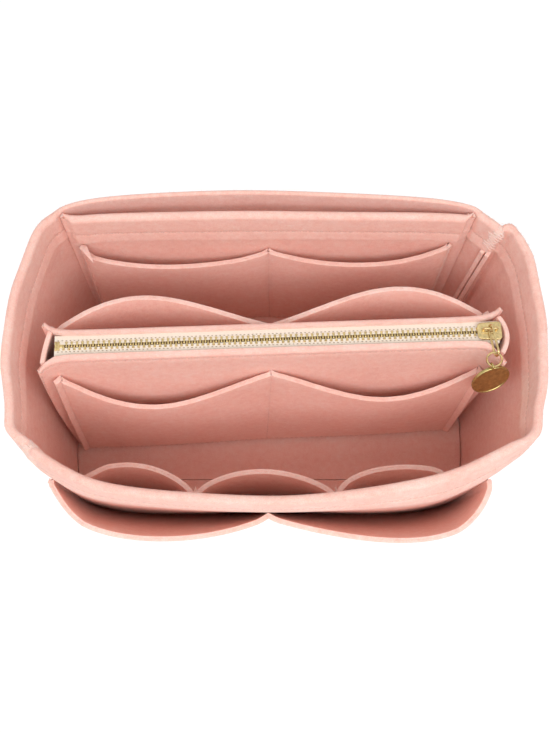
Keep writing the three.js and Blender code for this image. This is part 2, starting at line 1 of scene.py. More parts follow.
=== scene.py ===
"""Looks of a felt handbag organizer: an open tote with pockets all round, and a zipped pouch that lifts out.

Sizes are in millimetres and angles in degrees, and are turned into metres and radians where a mesh is made.
"""
import logging
import math
from contextlib import contextmanager
from dataclasses import dataclass, field
from enum import Enum
from functools import partial
from typing import Callable, Iterator, Sequence

import bpy
import numpy as np
from mathutils import Matrix, Vector


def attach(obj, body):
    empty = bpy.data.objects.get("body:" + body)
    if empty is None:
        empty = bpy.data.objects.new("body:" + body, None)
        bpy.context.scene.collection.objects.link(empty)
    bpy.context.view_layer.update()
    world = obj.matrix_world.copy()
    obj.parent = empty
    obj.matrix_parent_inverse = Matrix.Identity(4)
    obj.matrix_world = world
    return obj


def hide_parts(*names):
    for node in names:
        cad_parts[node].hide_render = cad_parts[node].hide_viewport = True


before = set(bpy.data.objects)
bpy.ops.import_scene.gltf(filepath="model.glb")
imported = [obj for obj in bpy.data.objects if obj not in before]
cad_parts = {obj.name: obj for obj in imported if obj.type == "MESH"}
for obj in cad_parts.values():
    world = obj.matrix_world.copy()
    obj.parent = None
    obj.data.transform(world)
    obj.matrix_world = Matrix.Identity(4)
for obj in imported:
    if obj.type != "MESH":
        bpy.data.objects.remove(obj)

LOG = logging.getLogger("organizer")
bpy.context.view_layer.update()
MM = 0.001
Array = np.ndarray
Piece = bpy.types.Object
Material = bpy.types.Material
Socket = bpy.types.NodeSocket
Surface = Callable[[Array, Array], Array]
Face = Callable[[Array, Array, float], Array]
Pair = tuple[float, float]
Triple = tuple[float, float, float]
Colour = tuple[int, int, int]
UP = np.array([0, 0, 1.0])
PUFF_HEIGHT, PUFF_REACH, PUFF_RISE = 1.1, 1.7, 0.3
ARCH_POWER = 0.85
RAGGED_WAVES = ((1.9, 1.0, 1.0), (0.93, 2.3, 0.7), (6.7, -1.0, 0.9))


def smooth(value: Array) -> Array:
    """Returns a soft step from 0 to 1 over the shares 0 to 1."""
    share = np.clip(value, 0.0, 1.0)
    return share * share * (3.0 - 2.0 * share)


def bow(share: Array) -> Array:
    """Returns a single arch over the shares 0 to 1, with 0 at both ends."""
    return np.sin(np.pi * np.clip(share, 0.0, 1.0))


def dent(value: Array, middle: float, width: float) -> Array:
    """Returns a bell of height 1 round a middle."""
    return np.exp(-(((value - middle) / width) ** 2))


def pocket_share(seams: Sequence[float], place: Array) -> Array:
    """Finds how far through its own pocket each place is.

    Args:
        seams: rising places of the seams, the outer ones included.
        place: places between the first seam and the last.

    Returns:
        Shares from 0 to 1 between the two seams beside each place.
    """
    rising = np.asarray(seams)
    pocket = np.clip(np.searchsorted(rising, place, side="left") - 1, 0, len(rising) - 2)
    return (place - rising[pocket]) / (rising[pocket + 1] - rising[pocket])


def puff(seams: Sequence[float], place: Array, reach: float, v: Array) -> Array:
    """Returns how far cloth stands up beside the seams that hold it down.

    Args:
        seams: places of the seams.
        place: places across the cloth.
        reach: millimetres for each unit of place.
        v: shares up the cloth, which lies flat at its foot.

    Returns:
        Heights in millimetres, 0 on a seam.
    """
    away = np.min([np.abs(place - seam) for seam in seams], axis=0) * reach
    return PUFF_HEIGHT * (1 - dent(away, 0.0, PUFF_REACH)) * v**PUFF_RISE


def ragged(place: Array, seed: float, depth: float = 0.3) -> Array:
    """Returns the small irregular waver of a cut edge.

    Args:
        place: places along the edge, in millimetres.
        seed: any number, so that edges differ.
        depth: the most that the edge wavers.

    Returns:
        Offsets in millimetres.
    """
    waves = sum(weight * np.sin(place / length + turn * seed) for length, turn, weight in RAGGED_WAVES)
    return depth * waves / sum(weight for *_, weight in RAGGED_WAVES)


def normals_of(points: Array, away: Array) -> Array:
    """Returns outward directions from points on a face and points further out."""
    step = away - points
    return step / np.linalg.norm(step, axis=-1, keepdims=True)


class ClosedPlan:
    """A smooth closed curve through points in the plan."""

    small: float = 1e-4

    def __init__(self, shares: Sequence[Pair], length: float, depth: float,
                 right: float = 0.0, front: float = 0.0) -> None:
        """Scales the shares to half of the length and depth, and shifts them to the right and front."""
        half = np.array([length / 2, depth / 2])
        self.points = np.array(shares) * half + np.array([right, -front])

    def at(self, share: Array) -> Array:
        """Draws the curve as centripetal cubics.

        Args:
            share: shares of the way round.

        Returns:
            The points, one row each.
        """
        count = len(self.points)
        place = (np.asarray(share, float) % 1.0) * count
        step = np.floor(place).astype(int)
        weight = (place - step)[..., None]
        p0, p1, p2, p3 = (self.points[(step + k) % count] for k in (-1, 0, 1, 2))
        t0, t1, t2 = (np.sqrt(np.linalg.norm(b - a, axis=-1))[..., None] for a, b in ((p0, p1), (p1, p2), (p2, p3)))
        first = ((p1 - p0) / t0 - (p2 - p0) / (t0 + t1) + (p2 - p1) / t1) * t1
        second = ((p2 - p1) / t1 - (p3 - p1) / (t1 + t2) + (p3 - p2) / t2) * t1
        cubic = 2 * p1 - 2 * p2 + first + second
        square = -3 * p1 + 3 * p2 - 2 * first - second
        return p1 + first * weight + square * weight**2 + cubic * weight**3

    def along(self, share: Array) -> Array:
        """Returns the unit directions of travel at the given shares."""
        share = np.asarray(share)
        return normals_of(self.at(share - self.small), self.at(share + self.small))


@dataclass(frozen=True)
class Cloth:
    """Felt as it is cut: its thickness, the gap left between two layers, and how far its threads sink in."""

    thickness: float = 2.9
    gap: float = 0.3
    sunk: float = 0.1


FELT = Cloth()


@dataclass
class ToteForm:
    """The shape that the tote's walls follow: a floor plan, a rim plan and the straight lines between them.

    Waves are (turns round, start, height for each radian, weight), and flares are (place, width, depth).
    """

    height: float = 150.0
    base_thickness: float = 4.0
    hem_depth: float = 27.0
    hem_thickness: float = 5.5
    lean: float = 4.0
    rear_rim_thickness: float = 2.8
    slip_height: float = 149.0
    slip_slot: float = 9.5
    slip_bow: float = 0.7
    waver: float = 0.5
    waver_rise: float = 60.0
    waves: tuple = ((7, 0.6, 60, 1.0), (17, 2.1, -35, 0.6))
    flares: tuple = ((16.55, 0.018, 4.0), (12.42, 0.018, 5.3), (7.4, 0.02, 3.6))
    floor_shares: tuple = (
        (0.95, 0.85), (0.85, 0.985), (0, 1), (-0.85, 0.985), (-0.955, 0.85), (-1, 0.4), (-1, -0.1), (-0.99, -0.6),
        (-0.945, -0.86), (-0.76, -0.985), (0, -1), (0.76, -0.985), (0.945, -0.86), (0.99, -0.6), (1, -0.05),
        (0.995, 0.5), (0.98, 0.73))
    rim_shares: tuple = (
        (0.851, 0.768), (0.744, 0.887), (-0.029, 0.996), (-0.757, 0.91), (-0.9, 0.781), (-0.977, 0.387), (-1, -0.093),
        (-0.973, -0.433), (-0.9, -0.66), (-0.674, -0.896), (-0.029, -1), (0.63, -0.888), (0.87, -0.67),
        (0.97, -0.34), (1, 0.093), (0.97, 0.526), (0.932, 0.696))
    lean_shares: tuple = (0, 0, 0, 0, 0, 0, 0, 0.4, 1, 1, 1, 1.9, 1.25, 0.25, 0, 0, 0)

    def __post_init__(self) -> None:
        """Draws the two plans and places the seams on them."""
        self.floor = ClosedPlan(self.floor_shares, 268.0, 150.0)
        self.rim = ClosedPlan(self.rim_shares, 309.0, 194.0, 4.5, 9.0)
        self.leans = ClosedPlan(tuple(enumerate(self.lean_shares)), 2.0, 2 * self.lean)
        self.step = 1 / len(self.rim_shares)
        self.seams = (-0.006, 8.02 * self.step, 0.994)
        self.slip = (0.875 * self.step, 3.375 * self.step)
        self.inside_floor = self.base_thickness + FELT.gap

    def wall(self, share: Array, z: Array, inset: Array) -> Array:
        """Places points on the wall, whose hem leans inwards above its cut edge.

        Args:
            share: shares of the way round, anticlockwise from the back right seam.
            z: heights.
            inset: distances in from the wall's outer face.

        Returns:
            The points, one row each.
        """
        share, z, inset = np.broadcast_arrays(np.asarray(share, float), z, inset)
        rise = (z / self.height)[..., None]
        point = self.floor.at(share) * (1 - rise) + self.rim.at(share) * rise
        along = self.floor.along(share) * (1 - rise) + self.rim.along(share) * rise
        along /= np.linalg.norm(along, axis=-1, keepdims=True)
        inward = np.stack([-along[..., 1], along[..., 0]], axis=-1)
        lean = self.leans.at(share)[..., 1] * np.maximum(0, z - self.height + self.hem_depth) / self.hem_depth
        point = point + inward * (inset + lean + self.wave(share, z))[..., None]
        return np.concatenate([point, z[..., None]], axis=-1)

    def line(self, share: Array, z: Array, inset: Array, away: float = 1.0) -> tuple[Array, Array]:
        """Places a line on the wall with the directions that it faces.

        Args:
            share: shares of the way round.
            z: heights.
            inset: distances in from the wall's outer face.
            away: 1 for a line that faces inwards and -1 for one that faces outwards.

        Returns:
            The points and the unit directions, one row each.
        """
        points = self.wall(share, z, inset)
        return points, normals_of(points, self.wall(share, z, inset + away))

    def wave(self, share: Array, z: Array) -> Array:
        """Finds how far the felt wavers, the same for all layers at one place.

        Args:
            share: shares of the way round.
            z: heights.

        Returns:
            Distances inwards.
        """
        turn = 2 * np.pi * share
        swing = sum(weight * np.sin(turns * turn + start + z / rise) for turns, start, rise, weight in self.waves)
        flare = sum(depth * dent(share, place * self.step, width) for place, width, depth in self.flares)
        return self.waver * swing * smooth(z / self.waver_rise) - flare * smooth(z / self.height)

    def shift(self, place: float, distance: Array, near: float = 0.005) -> Array:
        """Returns shares of the way round at distances along the rim from one place, by its scale nearby."""
        span = float(np.linalg.norm(self.rim.at(place + near) - self.rim.at(place - near)))
        return place + distance / span * (2 * near)

    def slip_share(self, along: Array) -> Array:
        """Returns shares of the way round from shares along the slip panel."""
        return self.slip[0] + (self.slip[1] - self.slip[0]) * along

    def rim_thickness(self, share: Array) -> Array:
        """Finds the thickness of the rim, which is single behind the slip panel.

        Args:
            share: shares of the way round.

        Returns:
            The thickness at each.
        """
        into = np.minimum(share - self.slip[0], self.slip[1] - share) + self.step / 4
        blend = np.clip(into / (self.step / 4), 0, 1)
        return self.hem_thickness + (self.rear_rim_thickness - self.hem_thickness) * blend

    def slip_inset(self, along: Array, z: Array) -> Array:
        """Returns how far the slip panel stands in from the wall, with a slot that opens upwards."""
        return self.rear_rim_thickness + FELT.gap + self.slip_slot * bow(along) ** self.slip_bow * (z / self.height)


@dataclass
class PouchForm:
    """The shape of the zipped pouch, in its own frame along the zip."""

    top_length: float = 264.0
    base_length: float = 254.0
    base_shift: float = -4.7
    top_depth: float = 19.0
    ear_depth: float = 30.0
    ear_power: int = 22
    front_ear_depth: float = 5.0
    front_ear_start: float = 0.9
    front_ear_width: float = 0.1
    base_depth: float = 36.0
    top: float = 142.0
    foot: float = 7.9
    right: float = 2.2
    front: float = 4.5
    yaw: float = 2.1
    twist: float = 0.9

    def rise(self, z: Array) -> Array:
        """Returns the share of the way up the pouch."""
        return (z - self.foot) / (self.top - self.foot)

    def half_length(self, v: Array) -> Array:
        """Returns half the pouch's length at a share of its height."""
        return (self.base_length + (self.top_length - self.base_length) * v) / 2

    def half_depth(self, u: Array, v: Array) -> Array:
        """Returns half the pouch's depth, which widens again at the ears."""
        top = self.top_depth + (self.ear_depth - self.top_depth) * np.abs(u) ** self.ear_power
        return (self.base_depth + (top - self.base_depth) * v) / 2

    def side(self, side: int, u: Array, z: Array, outward: Array) -> Array:
        """Places points on the front or back of the pouch.

        Args:
            side: -1 for the front and 1 for the back.
            u: places from -1 at the left end to 1 at the right end.
            z: heights.
            outward: distances out from the panel's outer face.

        Returns:
            The points in the tote's frame, one row each.
        """
        u, z, outward = np.broadcast_arrays(np.asarray(u, float), z, outward)
        v = self.rise(z)
        ear = self.front_ear(u, v) if side < 0 else 0.0
        points = np.stack([u * self.half_length(v), side * (self.half_depth(u, v) + ear + outward), z], axis=-1)
        return self.placed(points)

    def front_ear(self, u: Array, v: Array) -> Array:
        """Returns how much further the front panel's right end stands forward."""
        into = smooth((u - self.front_ear_start) / self.front_ear_width)
        return self.front_ear_depth * into**1.5 * np.clip(v, 0, 1) ** 2

    def placed(self, points: Array) -> Array:
        """Turns and shifts points to the tote's frame, with the pouch's foot set to the left and twisted.

        Args:
            points: points in the pouch's own frame, one row each.

        Returns:
            The points in the tote's frame.
        """
        angle = math.radians(self.yaw)
        below = 1 - self.rise(points[..., 2])
        along = points[..., 0] + self.base_shift * below
        across = points[..., 1] + along * math.tan(math.radians(self.twist)) * below
        x = along * math.cos(angle) - across * math.sin(angle) + self.right
        y = along * math.sin(angle) + across * math.cos(angle) - self.front
        return np.stack([x, y, points[..., 2]], axis=-1)

    def matrix(self) -> Matrix:
        """Returns the turn and shift of the pouch, in millimetres."""
        shift = Matrix.Translation(Vector((self.right, -self.front, 0)))
        return shift @ Matrix.Rotation(math.radians(self.yaw), 4, "Z")


TOTE = ToteForm()
POUCH = PouchForm()


def add_node(tree: bpy.types.NodeTree, kind: str, operation: str = "", **values: object) -> bpy.types.Node:
    """Adds a shader node and sets its inputs.

    Args:
        tree: the tree that it joins.
        kind: its type, without the words that all types start with.
        operation: what a math node does.
        values: values of its inputs by name.

    Returns:
        The node.
    """
    node = tree.nodes.new("ShaderNode" + kind)
    if operation:
        node.operation = operation
    for name, value in values.items():
        node.inputs[name.replace("_", " ")].default_value = value
    return node


class Shader:
    """A material under construction, with short calls for the nodes that the finishes share."""

    def __init__(self, name: str) -> None:
        """Starts a material with one principled shader.

        Args:
            name: the material's name.
        """
        self.material = bpy.data.materials.new(name)
        self.material.use_nodes = True
        self.tree = self.material.node_tree
        self.shader = self.tree.nodes["Principled BSDF"]
        self.coords = add_node(self.tree, "TexCoord")

    def set(self, **values: object) -> None:
        """Sets sockets of the shader, given with underscores for spaces."""
        for key, value in values.items():
            self.shader.inputs[key.replace("_", " ")].default_value = value

    def link(self, source: Socket, target: Socket) -> None:
        """Joins two sockets."""
        self.tree.links.new(source, target)

    def noise(self, scale: float, detail: float, roughness: float,
              stretch: Triple = (1, 1, 1)) -> Socket:
        """Adds noise on the piece's own coordinates.

        Args:
            scale: features to the metre.
            detail: number of finer layers.
            roughness: weight of the finer layers.
            stretch: scale along each axis.

        Returns:
            The noise's factor.
        """
        mapping = add_node(self.tree, "Mapping", Scale=stretch)
        node = add_node(self.tree, "TexNoise", Scale=scale, Detail=detail, Roughness=roughness)
        self.link(self.coords.outputs["Object"], mapping.inputs["Vector"])
        self.link(mapping.outputs["Vector"], node.inputs["Vector"])
        return node.outputs["Fac"]

    def math(self, operation: str, first: object, second: object = 0.0) -> Socket:
        """Adds a sum.

        Args:
            operation: what it does.
            first: a socket or a number.
            second: another.

        Returns:
            Its result.
        """
        node = add_node(self.tree, "Math", operation)
        for socket, value in zip(node.inputs, (first, second)):
            if isinstance(value, Socket):
                self.link(value, socket)
            else:
                socket.default_value = value
        return node.outputs["Value"]

    def colour(self, factor: Socket, *stops: tuple[float, tuple]) -> None:
        """Takes the base colour from a ramp.

        Args:
            factor: where on the ramp each point is.
            stops: places on the ramp, each with a screen colour.
        """
        node = add_node(self.tree, "ValToRGB")
        elements = node.color_ramp.elements
        while len(elements) < len(stops):
            elements.new(0.5)
        for element, (place, colour) in zip(elements, stops):
            element.position = place
            element.color = (*linear(*colour), 1)
        self.link(factor, node.inputs["Fac"])
        self.link(node.outputs["Color"], self.shader.inputs["Base Color"])

    def bump(self, height: Socket, distance: float, strength: float) -> None:
        """Adds a bump on top of the ones before it.

        Args:
            height: the bump's form, from 0 to 1.
            distance: how far 1 stands out, in metres.
            strength: the share of it that shows.
        """
        node = add_node(self.tree, "Bump", Strength=strength, Distance=distance)
        self.link(height, node.inputs["Height"])
        normal = self.shader.inputs["Normal"]
        if normal.is_linked:
            self.link(normal.links[0].from_socket, node.inputs["Normal"])
        self.link(node.outputs["Normal"], normal)


def linear(*screen: int) -> tuple[float, ...]:
    """Returns the linear colour that a shader takes for a screen colour of 0 to 255."""
    shares = [value / 255 for value in screen]
    return tuple(share / 12.92 if share <= 0.04045 else ((share + 0.055) / 1.055) ** 2.4 for share in shares)


def darker(colour: Sequence[int], share: float) -> tuple[int, ...]:
    """Returns a share of a screen colour."""
    return tuple(int(channel * share) for channel in colour)


@dataclass(frozen=True)
class FeltFinish:
    """Pressed felt: short matted fibres over a soft mottled body. Scales and weights are of fibres, clumps, clouds."""

    name: str
    dark: Colour
    body: Colour
    light: Colour
    fuzz: float = 0.2
    scales: tuple = (1500, 260, 28)
    weights: tuple = (0.5, 0.3, 0.2)

    def make(self) -> Material:
        """Builds the material.

        Returns:
            The material.
        """
        shader = Shader(self.name)
        fibres, clumps, cloud = (shader.noise(scale, detail, rough) for scale, detail, rough
                                 in zip(self.scales, (4, 3, 2), (0.7, 0.6, 0.5)))
        parts = [shader.math("MULTIPLY", part, weight) for part, weight in zip((fibres, clumps), self.weights)]
        tone = shader.math("ADD", shader.math("ADD", *parts), shader.math("MULTIPLY", cloud, self.weights[2]))
        shader.colour(tone, (0.34, self.dark), (0.5, self.body), (0.66, self.light))
        shader.bump(clumps, 0.0005, 0.5)
        shader.bump(fibres, 0.0002, 0.6)
        shader.set(Roughness=0.95, Specular_IOR_Level=0.15, Sheen_Weight=self.fuzz, Sheen_Roughness=0.45,
                   Sheen_Tint=(*linear(*self.light), 1), Subsurface_Weight=0.2, Subsurface_Scale=0.0025,
                   Subsurface_Radius=(1.0, 0.5, 0.35))
        return shader.material


@dataclass(frozen=True)
class ThreadFinish:
    """Twisted sewing thread, with painted shade between its strands."""

    name: str
    colour: Colour
    shade: float = 0.86
    twist: float = 2600.0

    def make(self) -> Material:
        """Builds the material.

        Returns:
            The material.
        """
        shader = Shader(self.name)
        twist = shader.noise(self.twist, 2, 0.5)
        # painted shade: the colour darkens where the twist noise, and so the bump, is low
        shader.colour(twist, (0.35, darker(self.colour, self.shade)), (0.65, self.colour))
        shader.bump(twist, 0.0001, 0.6)
        shader.set(Roughness=0.85, Specular_IOR_Level=0.1, Subsurface_Weight=0.2, Subsurface_Scale=0.0015,
                   Subsurface_Radius=(1.0, 0.6, 0.5))
        return shader.material


@dataclass(frozen=True)
class TapeFinish:
    """Woven zip tape: a fine herringbone of cream yarn, so many yarns to the metre, with painted shade between the
    yarns.
    """

    name: str
    colour: Colour
    shade: Colour
    yarn: float = 1250.0

    def make(self) -> Material:
        """Builds the material.

        Returns:
            The material.
        """
        shader = Shader(self.name)
        split = add_node(shader.tree, "SeparateXYZ")
        shader.link(shader.coords.outputs["UV"], split.inputs["Vector"])
        along, across = (shader.math("MULTIPLY", split.outputs[axis], self.yarn * 2 * math.pi) for axis in "XY")
        warp, weft = (shader.math("SINE", shader.math(way, along, across)) for way in ("ADD", "SUBTRACT"))
        weave = shader.math("ADD", shader.math("MULTIPLY", shader.math("ADD", warp, weft), 0.25), 0.5)
        # painted shade: the weave's low places, between the yarns, take the darker colour
        shader.colour(weave, (0.2, self.shade), (0.7, self.colour))
        shader.bump(weave, 0.00012, 0.7)
        shader.set(Roughness=0.8, Specular_IOR_Level=0.25, Sheen_Weight=0.2)
        return shader.material


@dataclass(frozen=True)
class GoldFinish:
    """Thin gold plate on cast zinc: smooth, with faint polishing marks."""

    name: str
    colour: Colour
    roughness: float = 0.24
    haze: float = 0.16
    marks: float = 0.00002
    shade: float = 0.8

    def make(self) -> Material:
        """Builds the material.

        Returns:
            The material.
        """
        shader = Shader(self.name)
        haze = shader.noise(420, 3, 0.6)
        marks = shader.noise(900, 2, 0.6, (1, 6, 1))
        shader.colour(haze, (0.3, darker(self.colour, self.shade)), (0.7, self.colour))
        rough = shader.math("ADD", shader.math("MULTIPLY", haze, self.haze), self.roughness - self.haze / 2)
        shader.link(rough, shader.shader.inputs["Roughness"])
        shader.bump(marks, self.marks, 0.8)
        shader.set(Metallic=1.0)
        return shader.material


FELT_FACE = FeltFinish("felt_face", (240, 181, 167), (250, 201, 187), (255, 219, 208)).make()
FELT_CUT = FeltFinish("felt_cut_edge", (241, 192, 178), (251, 209, 196), (255, 227, 218), 0.4).make()
THREAD_PINK = ThreadFinish("thread_pink", (252, 200, 186)).make()
# Darker cream thread on the zip tapes: painted shade where the stitches sink into the tape.
THREAD_CREAM_PAINTED_SHADE = ThreadFinish("thread_cream_painted_shade", (192, 174, 154)).make()
YARN_PALE = FeltFinish("spun_yarn_pale_pink", (246, 192, 177), (253, 211, 197), (255, 228, 218), 0.4).make()
TAPE_CREAM = TapeFinish("zip_tape_cream", (252, 243, 230), (228, 211, 192)).make()
STRIP_PINK = TapeFinish("fastener_tape_pink", (236, 186, 172), (206, 146, 132), 600.0).make()
GOLD = GoldFinish("pale_gold_plate", (232, 206, 148)).make()
# A darker, rougher copy of the pale gold for the disc tag: painted shade on the disc's face.
GOLD_PAINTED_SHADE = GoldFinish("gold_plate_painted_shade", (200, 186, 122), 0.34).make()


def deselect() -> None:
    """Leaves nothing selected and no object in edit mode."""
    if bpy.context.object is not None and bpy.context.object.mode != "OBJECT":
        bpy.ops.object.mode_set(mode="OBJECT")
    bpy.ops.object.select_all(action="DESELECT")


def started(add: Callable, name: str = "part", **options: object) -> Piece:
    """Adds a primitive with nothing else selected.

    Args:
        add: the operator.
        name: the new object's name.
        options: what the operator takes.

    Returns:
        The new object.
    """
    deselect()
    add(**options)
    piece = bpy.context.object
    piece.name = piece.data.name = name
    return piece


@contextmanager
def editing(select: str, mode: str = "FACE") -> Iterator[None]:
    """Opens the active object in edit mode for what is done inside.

    Args:
        select: SELECT or DESELECT, for all that it has.
        mode: what is selected: VERT, EDGE or FACE.

    Yields:
        Once, in edit mode.
    """
    bpy.ops.object.mode_set(mode="EDIT")
    bpy.ops.mesh.select_mode(type=mode)
    bpy.ops.mesh.select_all(action=select)
    yield
    bpy.ops.object.mode_set(mode="OBJECT")


def thicken(piece: Piece, thickness: float, side: float, even: bool) -> None:
    """Adds a thickness whose rim has the piece's second material.

    Args:
        piece: the piece.
        thickness: in millimetres.
        side: 1 along the faces' directions and -1 against them.
        even: whether corners keep the thickness.
    """
    solid = piece.modifiers.new("thickness", "SOLIDIFY")
    solid.thickness = thickness * MM
    solid.offset = side
    solid.use_even_offset = even
    solid.material_offset_rim = 1


def bevel(piece: Piece, width: float, segments: int, angle: float) -> None:
    """Adds rounded edges.

    Args:
        piece: the piece.
        width: in millimetres.
        segments: faces across each rounded edge.
        angle: the least angle that is rounded.
    """
    modifier = piece.modifiers.new("edge", "BEVEL")
    modifier.width = width * MM
    modifier.segments = segments
    modifier.limit_method = "ANGLE"
    modifier.angle_limit = math.radians(angle)


def apply_modifiers(piece: Piece, smooth_angle: float = 0.0) -> None:
    """Applies every modifier of a piece in order, and shades it smooth.

    Args:
        piece: the piece, which is left active.
        smooth_angle: the most that a smooth edge turns, or 0 for no shading.
    """
    deselect()
    piece.select_set(True)
    bpy.context.view_layer.objects.active = piece
    for modifier in list(piece.modifiers):
        bpy.ops.object.modifier_apply(modifier=modifier.name)
    if smooth_angle:
        bpy.ops.object.shade_smooth_by_angle(angle=math.radians(smooth_angle))


def coordinates(piece: Piece) -> Array:
    """Reads a mesh.

    Args:
        piece: the mesh's object.

    Returns:
        Its vertices' places, one row each.
    """
    flat = np.empty(len(piece.data.vertices) * 3)
    piece.data.vertices.foreach_get("co", flat)
    return flat.reshape(-1, 3)


def move_to(piece: Piece, points: Array) -> None:
    """Moves a mesh's vertices to the given places."""
    piece.data.vertices.foreach_set("co", points.ravel())
    piece.data.update()


def hand_over(piece: Piece, body: str, node: str = "") -> None:
    """Makes a finished piece ride on a body, in place of a solid where one is named.

    Args:
        piece: the piece.
        body: the body that it rides on.
        node: the solid.
    """
    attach(piece, body)
    if node:
        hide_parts(node)
    LOG.info("%s: %d faces", piece.name, len(piece.data.polygons))


class Hold(Enum):
    """How a sheet of cloth is held."""

    STRETCHED = "stretched"
    FOLDED = "folded"
    LAID = "laid"


@dataclass
class Sheet:
    """A flat cut of cloth, shaped by a surface of two shares, and thickened to one side of it."""

    name: str
    node: str
    body: str
    surface: Surface
    across: Sequence[float]
    up: Sequence[float]
    side: float
    cut: Pair
    hold: Hold = Hold.STRETCHED
    rests_on: tuple[str, ...] = ()
    slot: str = "felt"
    thickness: float = FELT.thickness
    edge: float = 0.7
    faces: tuple = field(default_factory=lambda: (FELT_FACE, FELT_CUT))

    def make(self) -> None:
        counts = len(self.across) - 1, len(self.up) - 1
        piece = started(bpy.ops.mesh.primitive_grid_add, self.name, x_subdivisions=counts[0],
                        y_subdivisions=counts[1], size=1)
        flat = coordinates(piece)
        u, v = (np.asarray(shares, float)[np.rint((flat[:, k] + 0.5) * counts[k]).astype(int)]
                for k, shares in enumerate((self.across, self.up)))
        move_to(piece, self.surface(u, v) * MM)
        corner = np.empty(len(piece.data.loops), int)
        piece.data.loops.foreach_get("vertex_index", corner)
        places = np.stack([u * self.cut[0], v * self.cut[1]], axis=-1)[corner] * MM
        piece.data.uv_layers[0].data.foreach_set("uv", places.ravel())
        for material in self.faces:
            piece.data.materials.append(material)
        thicken(piece, self.thickness, self.side, True)
        if self.edge:
            bevel(piece, self.edge, 3, 55)
        apply_modifiers(piece, 50)
        hand_over(piece, self.body, self.node)


def repeated(template: Piece, places: Sequence[Matrix], name: str) -> Piece:
    """Copies a modelled shape to many places as one piece, and removes the first shape.

    Args:
        template: the shape, in metres.
        places: one matrix for each copy.
        name: the new piece's name.

    Returns:
        The new piece.
    """
    points = coordinates(template)
    faces = [list(face.vertices) for face in template.data.polygons]
    turned = [points @ np.array(place.to_3x3()).T + np.array(place.translation) for place in places]
    mesh = bpy.data.meshes.new(name)
    copies = [[vertex + len(points) * k for vertex in face] for k in range(len(places)) for face in faces]
    mesh.from_pydata(np.concatenate(turned).tolist(), [], copies)
    mesh.polygons.foreach_set("use_smooth", [True] * len(mesh.polygons))
    for material in template.data.materials:
        mesh.materials.append(material)
    mesh.update()
    piece = bpy.data.objects.new(name, mesh)
    bpy.context.scene.collection.objects.link(piece)
    bpy.data.objects.remove(template)
    return piece


@dataclass
class Stitching:
    """Machine stitches: short arched lengths of thread that dive into the cloth at both ends."""

    name: str
    body: str
    thread: Material
    slot: str = "felt"
    pitch: float = 3.4
    length: float = 2.9
    radius: float = 0.3
    places: list = field(default_factory=list)

    def run(self, points: Array, outward: Array) -> None:
        """Sews a straight line along a path.

        Args:
            points: the path, one row each, in millimetres, on the cloth's face.
            outward: the cloth's outward directions at the points.
        """
        reach = np.concatenate([[0], np.cumsum(np.linalg.norm(np.diff(points, axis=0), axis=1))])
        count = max(1, int(reach[-1] // self.pitch))
        for middle in (np.arange(count) + 0.5) * reach[-1] / count:
            near, far = (self.at(reach, points, middle + shift) for shift in (-self.length / 2, self.length / 2))
            self.lay(Vector(near), Vector(far), Vector(self.at(reach, outward, middle)), 1.0)

    def zigzag(self, left: Array, right: Array, outward: Array) -> None:
        """Sews to and fro between two edges.

        Args:
            left: points of one edge, one row each.
            right: points of the other edge, one for each of the first.
            outward: the cloth's outward directions at them.
        """
        for k in range(len(left) - 1):
            for near, far in ((left[k], right[k]), (right[k], left[k + 1])):
                near, far = Vector(near.tolist()), Vector(far.tolist())
                self.lay(near, far, Vector(outward[k].tolist()), (far - near).length / self.length)

    def lay(self, near: Vector, far: Vector, outward: Vector, stretch: float) -> None:
        """Lays one stitch.

        Args:
            near: where it starts.
            far: where it ends.
            outward: the direction that its arch stands to.
            stretch: its length as a share of a plain stitch.
        """
        along = (far - near).normalized()
        across = outward.cross(along).normalized()
        turn = Matrix((along * stretch, across, along.cross(across))).transposed().to_4x4()
        self.places.append(Matrix.Translation((near + far) / 2 * MM) @ turn)

    @staticmethod
    def at(reach: Array, values: Array, place: float) -> list[float]:
        """Returns the values at a distance along a path."""
        return [float(np.interp(place, reach, values[:, k])) for k in range(3)]

    def make(self) -> None:
        """Builds all the stitches as one piece."""
        stitch = started(bpy.ops.mesh.primitive_cylinder_add, vertices=6, radius=self.radius * MM,
                         depth=self.length * MM, rotation=(0, math.pi / 2, 0))
        bpy.ops.object.transform_apply(location=False, rotation=True, scale=False)
        with editing("SELECT"):
            for side in (-1, 1):
                bpy.ops.mesh.select_all(action="SELECT")
                bpy.ops.mesh.bisect(plane_co=(side * self.length * MM / 3.2, 0, 0), plane_no=(1, 0, 0))
        points = coordinates(stitch)
        end = np.abs(points[:, 0]) > 0.4 * self.length * MM
        points[end, 1:] *= 0.7
        points[end, 2] -= self.radius * 1.3 * MM
        points[:, 2] += self.radius * 0.3 * MM
        move_to(stitch, points)
        stitch.data.materials.append(self.thread)
        hand_over(repeated(stitch, self.places, self.name), self.body)


def sew(stitching: Stitching, surface: Face, near: float, far: float, u: Array, v: Array) -> None:
    """Sews a line on a sheet.

    Args:
        stitching: the thread that the line is added to.
        surface: the sheet's face.
        near: how far out from it the thread lies.
        far: a distance further out.
        u: shares across the sheet along the line, or one share.
        v: shares up the sheet along the line, or one share.
    """
    u, v = np.broadcast_arrays(np.asarray(u, float), np.asarray(v, float))
    points = surface(u, v, near)
    stitching.run(points, normals_of(points, surface(u, v, far)))


